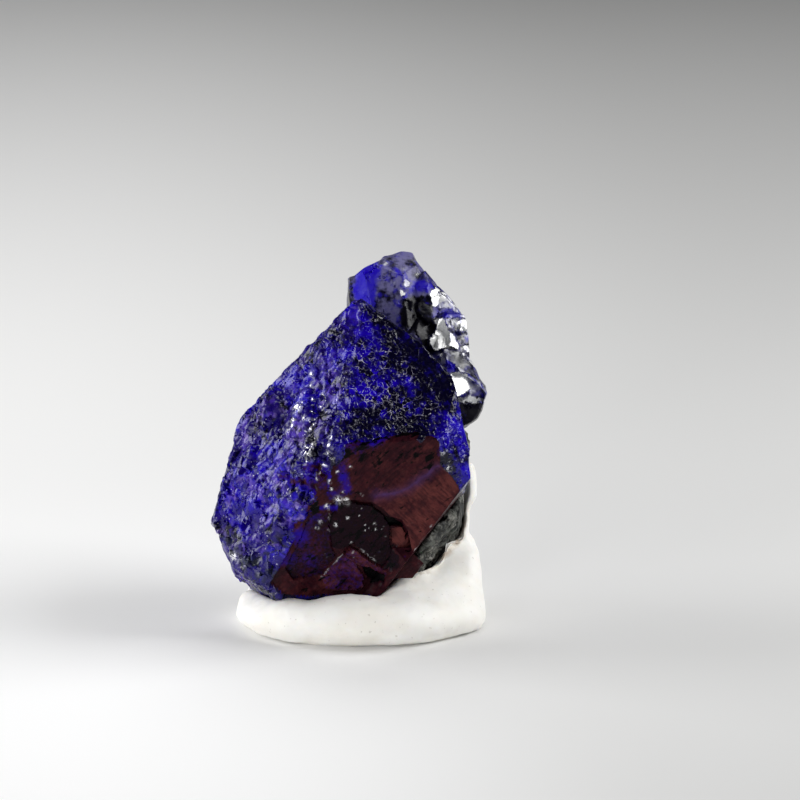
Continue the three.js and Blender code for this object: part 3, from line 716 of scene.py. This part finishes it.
# Edge length on the faces that the front shows, and on all others
EDGE = {
    "roof": 0.15, "band": 0.15, "right": 0.15,
    "left": 0.21, "left_low": 0.21, "top_left": 0.21,
    "front": 0.2, "front_low": 0.2,
    "far_left": 0.35, "far_left_low": 0.35, "under_left": 0.35,
}
EDGE_ELSEWHERE = 0.7


def detail_limit(points):
    """Edge length over the main crystal."""
    share = face_shares(points)[0]
    return sum(EDGE.get(name, EDGE_ELSEWHERE) * share[name] for name in FACE_NAMES)


def main_zones(points, out):
    """Which part of the surface each point is in, as shares from 0 to 1, with the noise that
    frays the borders."""
    u, v = points[:, 0], points[:, 1]
    wander = drift(points, 1.3, 15)
    scraps = noise(points, 0.9, 61, 3)
    depth = face_shares(points)[1]
    loose = 0.4 + 0.7 * smooth(2, -1.5, u) * smooth(19, 17, v)
    share = face_shares(points + loose[:, None] * wander)[0]
    broken = smooth(0.35, 0.6, depth) * smooth(0, 0.4, out[:, 2]) * (v < BREAK_TOP)
    past_blue = smooth(-7.4, -6.6, u + 0.3 * (8 - v) + 0.5 * wander[:, 1])
    rough = share["roof"] + 0.08 * share["band"] + 0.4 * share["right"]
    side = sum(share[name] for name in LEFT_FACES)
    lower = sum(share[name] for name in LOWER_FACES) + share["far_right"] * smooth(15, 13, v)
    back = np.clip(1 - rough - side - lower - share["band"], 0, 1)
    rough, lower = rough * (1 - broken), lower * (1 - broken)
    side = side * (1 - broken) + broken * (1 - past_blue)

    # The painted maroon reflection on the lower face ends at the top in a ragged arc
    arc = 16.5 - 0.035 * (u - 5) ** 2 + 1.1 * wander[:, 1] + 0.9 * scraps
    arc -= 0.5 * np.maximum(0.5 - u, 0) ** 2 * (u > -2.2)
    maroon_reflection = (lower + share["roof"] + share["right"]) * smooth(-0.15, 0.15, arc - v)
    maroon_reflection *= smooth(0.12, -0.12, u - np.interp(v, *MAROON_REFLECTION_RIGHT) + 0.25 * scraps)
    rough = np.clip(rough + lower, 0, 1) * (1 - maroon_reflection) * (1 - broken)
    maroon_reflection *= 1 - 0.9 * side
    lower = lower * maroon_reflection
    maroon_reflection = np.maximum(maroon_reflection, broken * past_blue)
    return SimpleNamespace(share=share, wander=wander, scraps=scraps, broken=broken, rough=rough,
                           side=side, lower=lower, back=back, maroon_reflection=maroon_reflection, below_arc=arc - v)


def growth_pits(points):
    """Pits of the rough face: cells with tilted floors and thin raised rims."""
    first, second, number, away = cells(points + 0.2 * drift(points, 0.55, 11), PIT_SIZE, 31)
    tilt = (away @ np.array([0.6, -0.5, 0.2])) * (number - 0.5)
    height = 0.06 * bell(second - first, 0.15) - 0.08 * smooth(0.1, 0.9, number) + 0.14 * tilt
    fine_first, fine_second, fine_number, _ = cells(points, 0.27, 57)
    height += 0.02 * bell(fine_second - fine_first, 0.2) * (fine_number > 0.6)
    return SimpleNamespace(height=height, number=number, fine_first=fine_first,
                           fine_number=fine_number)


def left_grains(points, out, wander):
    """Small crystals and grains side by side on the left."""
    first, second, number, _ = cells(points + 0.5 * wander, GRAIN_SIZE, 75)
    soft = smooth(-4, -9, points[:, 0])
    height = 0.3 * grown(points, out, 1.5, 71) + 0.15 * (1 - soft) * grown(points, out, 0.8, 83)
    height = height + 0.14 * (0.6 - first**2) + 0.22 * (number - 0.5)
    height = height + 0.06 * noise(points, 0.5, 85) + 0.2 * grown(points, out, 2.6, 79)
    return SimpleNamespace(height=height - 0.53, number=number, joint=bell(second - first, 0.16))


def lower_face(points, zones):
    """Heights and colours of the lower face under its painted maroon reflection, with its fine lines,
    its vein and the steps of the break."""
    u, v = points[:, 0], points[:, 1]
    wander = zones.wander
    ripple = noise(points, 0.8, 21, 3)
    stria = np.sin((u * 0.64 + v * 0.77) * 2 * math.pi / STRIA_PITCH + 3 * noise(points, 1.5, 25))
    vein_way = line_distance(points + 0.3 * wander, VEIN) + 0.1 * noise(points, 0.5, 27, 2)
    vein = (0.7 * bell(vein_way, 0.15) + 0.6 * bell(vein_way, 0.5)) * zones.lower
    height = zones.broken * 0.03 * ripple + zones.lower * (0.006 * stria + 0.012 * ripple)
    height -= 0.06 * vein * (1 + ripple)

    light = 0.42 + 0.4 * zones.share["front_low"] * zones.lower + 0.15 * zones.scraps
    tinted = patches(points, FACE_BLUE) * (0.8 + 0.6 * wander[:, 0])
    streak = bell(line_distance(points + 0.3 * wander, STREAK), 0.25)
    blue = 0.05 * vein + tinted + 0.9 * streak
    black = patches(points, FACE_BLACK) - 0.1 + 0.35 * smooth(1.1, 0, zones.below_arc)
    black = black - 0.9 * spot(points, 4.5, 15.6, 0.7) - 0.7 * spot(points, 8, 15.6, 0.7)
    step_height = np.zeros(len(points))
    wavy = points + 0.08 * wander
    for corners, stands, slopes, step_light, step_blue, step_black in STEPS:
        within = inside(wavy, corners) & (zones.broken > 0.02)
        middle = np.mean(corners, axis=0)
        rise = stands + (points[:, :2] - middle) @ np.array(slopes)
        step_height = np.where(within, rise, step_height)
        light = np.where(within, step_light, light)
        blue = np.where(within, step_blue + 0.6 * tinted, blue)
        black = np.where(within, step_black + 0.25 * ripple, black)
    return SimpleNamespace(height=height + zones.broken * step_height, light=light, blue=blue,
                           black=black, vein=vein)


def blue_depth(points, zones, pits, grains):
    """How light the blue is: patches seen in the photo, with pits and grains of their own shade."""
    share = zones.share
    blue = 0.3 + patches(points, BLUE_PATCHES) - patches(points, BLACK_PATCHES)
    blob = smooth(0.1, 0.6, noise(points, 1.5, 46, 2))
    blue += zones.rough * (0.08 + 0.3 * blob + 0.3 * (pits.number - 0.5))
    blue = blue - 0.5 * share["band"] + share["right"] * (-0.3 + 1.1 * noise(points, 1, 47, 2))
    blue -= 0.5 * spot(points, 10, 14.4, 0.9)
    blue -= 0.3 * zones.side * spot(points, -2.8, 14, 2.4)
    shade = 0.2 + 0.6 * (grains.number - 0.5) + 0.9 * noise(points, 2.4, 42) - 0.6 * grains.joint
    return blue + zones.side * shade


def painted_rim_glints(points, zones, grains, jagged):
    """Where the pits have their own tone and painted highlights on their rims as light lines, and
    where painted light dots are.
    """
    share = zones.share
    sparse = smooth(-0.1, 0.45, noise(points, 1.3, 65, 2) + 0.1)
    open_face = np.clip(zones.rough + share["right"], 0, 1) * (1 - 0.8 * share["band"])
    open_face *= 1 - 0.75 * smooth(19.5, 17.5, points[:, 1])
    pit_tone_and_rim_glints = 0.95 * open_face * (0.15 + 0.85 * sparse)
    pit_tone_and_rim_glints *= (1 - 0.6 * share["band"]) * (1 - 0.5 * share["right"])
    on_side = zones.side * smooth(-0.2, 0.4, noise(points, 2.2, 67)) * (1 - grains.joint)
    near_ridge = smooth(0.5, 0.1, line_distance(jagged, RIDGE_GLINT_LINE))
    near_ridge *= smooth(0.1, 0.5, noise(points, 1.5, 64))
    return pit_tone_and_rim_glints, np.maximum(np.maximum(0.6 * open_face * sparse, on_side), near_ridge)


def white_glints(points, out, zones, pits, jagged):
    """Painted highlights: bright points, thin bright edges of the break, and streaks of points beside
    the ridge.
    """
    dirt_and_glint_specks = (pits.fine_number > 0.95) * smooth(0.5, 0.2, pits.fine_first)
    glints = patches(jagged, GLINT_SPOTS) + 0.9 * dirt_and_glint_specks * spot(points, 0.8, 7.4, 2.6)
    for ends, width, strength in GLINT_LINES:
        line = bell(line_distance(jagged, ends), width)
        glints += strength * line * smooth(-0.5, 0.3, noise(points, 0.7, 89))
    streaks = smooth(0.1, 0.45, noise(points * np.array([1, 0.45, 1]), 1, 68, 2))
    streaks *= (pits.fine_number > 0.55) * smooth(0.6, 0.2, pits.fine_first)
    near_ridge = spot(points, -3.6, 19.8, 3) + spot(points, -4.8, 16.5, 3.6)
    near_ridge += spot(points, -3, 11.5, 2.4)
    glints += 1.3 * zones.side * streaks * near_ridge
    return glints * smooth(0, 0.3, out[:, 2]) * (points[:, 2] > -2)


def side_violet_sheen(points, zones, grains):
    """Where the left side's grains are violet or lilac, as a painted sheen of blurred glints."""
    chosen = smooth(0.3, 0.75, (grains.number * 97) % 1)
    grain_sheen = 0.26 + 0.6 * chosen - 0.5 * grains.joint
    grain_sheen = grain_sheen + 1.2 * noise(points, 2.8, 69) + 0.5 * noise(points, 1.2, 70)
    return zones.side * grain_sheen - 0.8 * spot(points, -2.8, 13.8, 2.6)


def main_crystal():
    points, triangles = surface("main_crystal", detail_limit)
    out = normals(points, triangles)
    zones = main_zones(points, out)
    pits = growth_pits(points)
    grains = left_grains(points, out, zones.wander)
    face = lower_face(points, zones)
    height = zones.rough * pits.height + zones.side * grains.height + face.height
    height += zones.back * 0.3 * grown(points, out, 1.1, 91)
    points = points + out * height[:, None]

    # The painted maroon reflection of the lower face, with its patches on the left side
    spill = patches(points, MAROON_REFLECTION_PATCHES) * (0.6 + 0.6 * zones.scraps)
    maroon_reflection = np.maximum(zones.maroon_reflection, spill)
    second = maroon_reflection[triangles].mean(axis=1) > 0.45

    # The top of the left side is a clearer blue than the rest
    high = zones.side * smooth(20.5, 25, points[:, 1] - 0.4 * points[:, 0])
    jagged = points + 0.14 * drift(points, 0.3, 86)
    # Painted highlights on the pit rims and in light dots
    pit_tone_and_rim_glints, glint_dots = painted_rim_glints(points, zones, grains, jagged)
    blue = blue_depth(points, zones, pits, grains) + 0.15 * high
    # The left side's painted sheen; on the lower face, the vein's own purple instead
    violet_sheen_and_vein = side_violet_sheen(points, zones, grains) * (1 - 0.75 * high)
    fringe = smooth(0.9, 0.45, maroon_reflection) * smooth(3, 0, points[:, 0])
    blue = np.where(maroon_reflection > 0.4, np.maximum(face.blue, 0.9 * fringe), blue)
    violet_sheen_and_vein = np.where(maroon_reflection > 0.4, 0.75 * face.vein * (0.75 + 0.5 * zones.scraps), violet_sheen_and_vein)
    mossy = zones.side * patches(points, MOSSY_PATCHES) * (0.8 + 0.8 * zones.wander[:, 1])
    mossy *= smooth(0, 0.3, out[:, 2])
    # Painted glints
    pale_grains_and_glints = white_glints(points, out, zones, pits, jagged)
    masks = {"blue": blue, "pale_grains_and_glints": pale_grains_and_glints, "side": zones.side, "black": face.black, "violet_sheen_and_vein": violet_sheen_and_vein,
             "mossy": mossy, "pit_tone_and_rim_glints": pit_tone_and_rim_glints, "dirt_and_glint_specks": glint_dots * (1 - 0.4 * high), "light": face.light,
             "low": zones.share["front_low"]}
    return made("azurite_main_crystal", points, triangles, masks,
                [azurite_material(), maroon_reflection_material()], "main_crystal", 40, second)


# Rear crystals

# The facets that catch the light or lie in the dark: corners as seen, how white, black and
# blue each is. The white is a painted highlight and the black painted shade. The white ones are
# flattened and tilted.
REAR_SHADES = [
    ([(-0.8, 33.2), (0.3, 33), (0.2, 27), (-0.8, 27)], 0, 0.5, -0.2),
    ([(0.5, 34), (1.7, 34.2), (1.5, 28), (0.5, 28)], 0, -0.1, 0.6),
    ([(1.7, 34.2), (2.7, 34.4), (2.6, 29), (1.5, 29)], 0, 0.3, 0.45),
    ([(4.8, 34.8), (6.6, 34.8), (6.4, 33.4), (4.9, 33.5)], 0.25, 0.1, -0.4),
    ([(6, 31.7), (7, 32.6), (8.6, 31.4), (7.8, 30.7), (6.4, 30.8)], 0, 0.1, 0.6),
    ([(5, 31.2), (5.7, 30.8), (5.2, 30.3)], 0.8, 0, 0),
    ([(8, 30.4), (8.6, 31.4), (9, 31.1), (8.8, 29.7), (8.2, 29.4)], 1.2, 0, 0),
    ([(8.8, 30.9), (10.4, 30.7), (11.4, 29.6), (10.4, 29.2), (8.9, 29.4)], 0.65, 0.1, 0),
    ([(8.8, 29.3), (11.4, 29.4), (12.2, 28.3), (8.6, 28.2)], 0.45, 0.1, 0.2),
    ([(4.8, 30), (7.9, 30.3), (8.3, 28.2), (8.4, 26.7), (7.7, 25.2), (5.4, 27)], 0, 1.1, 0),
    ([(8.3, 28.3), (9.3, 28.2), (9.9, 27.3), (10, 25), (8, 25.3), (8.5, 26.7)], 1.3, 0, 0),
    ([(10, 27), (10.4, 26.6), (10.7, 25.1), (10, 25.2)], 0.8, 0, 0),
    ([(10.2, 28.2), (12.2, 28.2), (12.2, 27.2), (10.6, 27)], 0.75, 0, 0),
    ([(10.5, 26.9), (12.2, 27), (12.2, 25.9), (10.8, 25.6)], 0.5, 0.1, 0.1),
    ([(10.9, 25.5), (12.2, 25.7), (12.3, 24.7), (11, 24.6)], 0.6, 0, 0),
    ([(9.4, 25), (11, 24.6), (12.7, 23.8), (12.6, 22.6), (10.4, 22.9)], 0.6, 0.1, 0.1),
    ([(9.6, 24.4), (10.4, 23.6), (10.5, 22.8), (9.8, 22.8)], 0, 0, 0.9),
    ([(10.2, 22.8), (11.8, 22.5), (11.9, 21.1), (10.7, 20.1), (10.2, 21)], 1.4, 0, 0),
    ([(11.8, 22.7), (12.8, 22.7), (14, 21), (13.6, 19.9), (12, 20.3)], 0.5, 0.3, 0),
    ([(10.6, 20.2), (12, 20.3), (13.6, 20), (13.4, 19.6), (10.9, 19.7)], 0.9, 0, 0),
    ([(10.4, 19.8), (13.4, 19.6), (14.6, 20.9), (14.4, 18), (13, 17), (10.4, 17)], 0, 1, 0),
]
# Pale mottling on the tall crystal, as seen: u, v, radius, strength
REAR_PALE = [
    (5.4, 33.2, 0.5, 0.5), (6.9, 32.6, 0.5, 0.5), (4.2, 32.2, 0.4, 0.4), (5.6, 31.8, 0.5, 0.45),
    (3.4, 33.8, 0.4, 0.4), (7, 33.6, 0.4, 0.4), (4.8, 30.4, 0.4, 0.45), (2.4, 31.4, 0.4, 0.3),
]
# How far right the cluster reaches at each height, and how far left its tall crystal does
REAR_RIGHT = ((16, 17.1, 18.9, 20.7, 21.6, 22.5, 24.2, 28, 28.8, 29.7, 30.6, 31.5, 32.5, 34.3),
              (11.5, 12.4, 13.6, 14.1, 13.7, 13.1, 12.2, 12.1, 11.8, 11, 10.1, 8.9, 8.1, 6.8))
TALL_TOP = 32.5
REAR_LEFT = ((TALL_TOP, 33.4, 34.3), (0, 1.2, 3))
REAR_BACK = -13  # w behind which the cluster is out of sight


def drawn_in(points):
    """The cluster's points, moved sideways to its outline in the photo."""
    points = points.copy()
    right = np.interp(points[:, 1], *REAR_RIGHT) - 0.7
    beyond = points[:, 0] - right
    points[:, 0] = np.where(beyond > 0, right + 0.35 * beyond, points[:, 0])
    left = np.interp(points[:, 1], *REAR_LEFT) + 0.4
    beyond = np.where(points[:, 1] > TALL_TOP, left - points[:, 0], 0)
    points[:, 0] = np.where(beyond > 0, left - 0.3 * beyond, points[:, 0])
    return points


def tilted_step(points, within, highlight):
    """How far forward each point goes to lie in a facet that faces right and up."""
    away = points - points[within].mean(axis=0)
    rise = 0.4 * highlight - highlight * (0.6 * away[:, 0] + 0.45 * away[:, 1])
    return np.clip(rise - away[:, 2], -1.2, 1.2)


def rear_crystals():
    points, triangles = surface("rear_crystals", lambda p: np.where(p[:, 2] > -10, 0.23, 0.45))
    out = normals(points, triangles)
    wander = drift(points, 1.1, 103)
    bumps = 0.16 * grown(points, out, 1.1, 101) * smooth(-0.5, 0.1, noise(points, 2.4, 103))
    points = drawn_in(points + out * (bumps + 0.05 * wander[:, 0])[:, None])

    u, v = points[:, 0], points[:, 1]
    tall = smooth(9.4, 8, u) * smooth(24, 26, v)
    cluster = smooth(8, 9.5, u) * smooth(23, 24.5, v)
    blue = 0.4 + 0.4 * noise(points, 1.8, 107, 2)
    violet_sheen_and_vein = 0.45 + 0.5 * tall * smooth(1.6, 3, u)
    # Pale mottling, and the cluster paler as a painted highlight
    pale_grains_and_glints = 0.25 * smooth(0.2, 0.7, noise(points, 1.5, 111, 2)) + 0.38 * cluster
    pale_grains_and_glints += patches(points + 0.5 * wander, REAR_PALE)
    black = (0.3 + 0.4 * tall) * smooth(0, 0.5, noise(points, 1.7, 113, 2))

    in_sight = points[:, 2] > REAR_BACK
    front = (out[:, 2] > -0.1) & in_sight
    aside = smooth(24.5, 25.5, v) * np.clip(u - 9.6, 0, 2.6)
    points[:, 2] -= 0.8 * aside * in_sight
    wavy = points + 0.45 * wander
    towards = smooth(0.15, 0.45, out[:, 2])
    # Painted highlight on the white facets, painted shade on the black ones
    for corners, highlight, dark, tint in REAR_SHADES:
        within = inside(wavy, corners) & front
        if highlight > 0.4 and within.any():
            step = tilted_step(points, within, highlight)
            points[:, 2] += 0.85 * within * towards * step
        pale_grains_and_glints = np.where(within, highlight, pale_grains_and_glints)
        black = np.where(within, dark + 0.6 * tall * black, black)
        blue = np.where(within, blue + tint, blue)
        violet_sheen_and_vein = np.where(within & (tint > 0.3), 0.1, violet_sheen_and_vein)
    blue, violet_sheen_and_vein, black = relaxed(np.stack([blue, violet_sheen_and_vein, black], axis=1), triangles, 8, 0.5).T
    masks = {"blue": blue, "pale_grains_and_glints": pale_grains_and_glints, "violet_sheen_and_vein": violet_sheen_and_vein, "black": black}
    materials = [rear_material("azurite_rear", 0.6), rear_material("azurite_rear_dark", 0.12)]
    dull = pale_grains_and_glints[triangles].mean(axis=1) < 0.3
    return made("azurite_rear_crystals", points, triangles, masks, materials,
                "rear_crystals", 30, dull)


# Rock

CONTACT = 0.28  # how far the rock and putty are let out towards the crystals
# How far right the rock reaches at each height
ROCK_RIGHT = ((2, 4.4, 6.2, 8, 11.5, 12.5, 14, 18),
              (8.5, 9.9, 11.2, 11.4, 11.5, 11, 11.2, 11.6))


def matrix_rock():
    points, triangles = surface("matrix", lambda p: np.where(p[:, 2] > -7, 0.2, 0.32))
    points = relaxed(points, triangles, 6, 0.5)
    out = normals(points, triangles)
    first, _, number, _ = cells(points, 0.8, 121)
    grains = 0.3 * (number - 0.5) + 0.2 * (0.6 - first)
    height = CONTACT + grains + 0.25 * noise(points, 2.2, 123, 3) + 0.15 * noise(points, 0.5, 125, 2)
    points = points + out * height[:, None]
    right = np.interp(points[:, 1], *ROCK_RIGHT) - 0.5
    beyond = points[:, 0] - right
    squeezed = np.where(beyond > 0, right + 0.3 * beyond, points[:, 0])
    points[:, 0] = np.where(points[:, 2] > -9, squeezed, points[:, 0])
    pale_grains_and_glints = smooth(0.72, 0.86, number) * smooth(0.7, 0.4, first)
    pale_grains_and_glints += 0.7 * smooth(0.2, 0.5, noise(points, 2, 127, 2))
    return made("matrix_rock", points, triangles, {"pale_grains_and_glints": pale_grains_and_glints}, [rock_material()],
                "matrix", sharp=50)


# Putty

# Where the putty meets the rock: how far right at each height
PUTTY_BORDER = ((3, 4.4, 6.2, 8, 12), (7.4, 9.5, 11, 11.4, 11.7))


def mounting_putty():
    points, triangles = surface("mounting_putty", lambda p: np.full(len(p), 0.32))
    hold = smooth(0.5, 0.02, (stood_up(points) / MM)[:, 2])
    points = relaxed(points, triangles, 40, 0.5, hold)
    out = normals(points, triangles)
    free = 1 - hold
    dents = 0.35 * noise(points, 3.4, 141, 2) + 0.07 * noise(points, 0.9, 143, 2)
    before_rock = 1.3 * spot(points, 8.6, 4, 1.8) + 1.3 * spot(points, 11.2, 6.6, 1.6)
    dents -= before_rock * smooth(-8, -5, points[:, 2])
    points = points + out * ((CONTACT + dents) * free)[:, None]

    # The lobe beside the rock is narrowed, raised and turned to the front
    u, v = points[:, 0].copy(), points[:, 1].copy()
    waist = smooth(5.6, 6.8, v) * smooth(9.8, 8.6, v)
    points[:, 0] -= free * 0.5 * waist * np.maximum(u - 11.2, 0)
    points[:, 0] += free * 0.5 * smooth(5.8, 4.4, v) * smooth(9.5, 11.5, u)
    points[:, 0] += 0.3 * smooth(9, 11, v) * smooth(9.5, 10.5, u)
    points[:, 1] += 1.8 * smooth(8, 12, v) * smooth(9.5, 10.5, u)
    facing = smooth(8, 9.5, v) * smooth(10.2, 11, u) * smooth(-0.2, 0.3, out[:, 2])
    points[:, 2] += 1.2 * np.clip(12.7 - u, 0, 1.4) * facing

    stood = stood_up(points) / MM
    stood[:, 2] = np.maximum(stood[:, 2], 0)
    points = laid_out(stood * MM)
    u, v = points[:, 0], points[:, 1]
    # Brownish along the border with the rock
    rock_edge_brown = 0.9 * smooth(0.9, 0.1, np.abs(u - np.interp(v, *PUTTY_BORDER))) * (v > 2.5)
    rock_edge_brown *= smooth(10, 8, v)
    return made("mounting_putty_wad", points, triangles, {"rock_edge_brown": rock_edge_brown}, [putty_material()],
                "mounting_putty")


# Stage, lights and camera

FLOOR_SIZE = 6  # metres
# The floor's painted light: lighter at the near left, darker to the right
FLOOR_LIGHT = (0.82, 0.82, 0.815, 1)
FLOOR_DARK = (0.58, 0.58, 0.575, 1)
FLOOR_NEAR = (0.98, 0.98, 0.98, 1)
EYE = (5, 20, 600)  # layout millimetres
SENSOR_WIDTH = 36
LENS = 270


def floor():
    """A pale floor with painted light, a little darker to the right and lighter at the near left."""
    mesh = bpy.data.meshes.new("floor")
    half = FLOOR_SIZE / 2
    corners = [(-half, -half, 0), (half, -half, 0), (half, half, 0), (-half, half, 0)]
    mesh.from_pydata(corners, [], [(0, 1, 2, 3)])
    s = Shader("floor")
    parts = s.node("SeparateXYZ", {0: s.place})
    tone = s.plus(parts.outputs["X"], parts.outputs["Y"], 0.08)
    tone = s.plus(tone, s.noise(0.004, 2), 0.01)
    near = s.times(s.ramp(parts.outputs["Y"], -0.05, 0.06, 1, 0),
                   s.ramp(parts.outputs["X"], -0.03, 0.03, 1, 0))
    colour = s.mix(s.ramp(tone, -0.03, 0.07), FLOOR_LIGHT, FLOOR_DARK)
    s.set(Base_Color=s.mix(near, colour, FLOOR_NEAR), Roughness=0.9, Specular_IOR_Level=0.1)
    mesh.materials.append(s.material)
    plane = bpy.data.objects.new("floor", mesh)
    bpy.context.scene.collection.objects.link(plane)


def along(u, v, w):
    """A place in layout millimetres as Blender has it."""
    return Vector(stood_up(np.array([[u, v, w]], float))[0])


def area_light(name, place, aim, size, radiance):
    """place and aim in layout millimetres, size in millimetres, radiance as a white floor is 1."""
    data = bpy.data.lights.new(name, "AREA")
    data.shape = "RECTANGLE"
    data.size, data.size_y = size[0] * MM, size[1] * MM
    data.energy = radiance * math.pi * data.size * data.size_y
    light = bpy.data.objects.new(name, data)
    light.location = along(*place)
    light.rotation_mode = "QUATERNION"
    light.rotation_quaternion = (along(*aim) - light.location).to_track_quat("-Z", "Y")
    light.visible_camera = False
    bpy.context.scene.collection.objects.link(light)


def lights():
    middle = (0, 16, 0)
    area_light("left_softbox", (-229, 125, -39), middle, (130, 170), 6)
    area_light("right_softbox", (188, 134, 16), middle, (140, 150), 7)
    area_light("overhead", (0, 330, -170), middle, (300, 220), 2.4)
    area_light("front_fill", (-140, -5, 390), middle, (120, 110), 13)
    area_light("front_left", (-230, 60, 250), (-60, 0, 60), (150, 150), 4)
    world = bpy.data.worlds.new("studio")
    world.use_nodes = True
    background = world.node_tree.nodes["Background"]
    background.inputs["Color"].default_value = (1, 1, 1, 1)
    background.inputs["Strength"].default_value = 0.02
    bpy.context.scene.world = world


def camera():
    data = bpy.data.cameras.new("camera")
    data.sensor_width, data.lens = SENSOR_WIDTH, LENS
    data.clip_start, data.clip_end = 0.01, 20
    eye = bpy.data.objects.new("camera", data)
    axes = Matrix([list(row) for row in TURN])
    eye.matrix_world = Matrix.Translation(along(*EYE)) @ axes.to_4x4()
    bpy.context.scene.collection.objects.link(eye)
    bpy.context.scene.camera = eye


camera()
floor()
lights()
for build in (main_crystal, rear_crystals, matrix_rock, mounting_putty):
    build()
bpy.context.scene.view_settings.view_transform = "Standard"
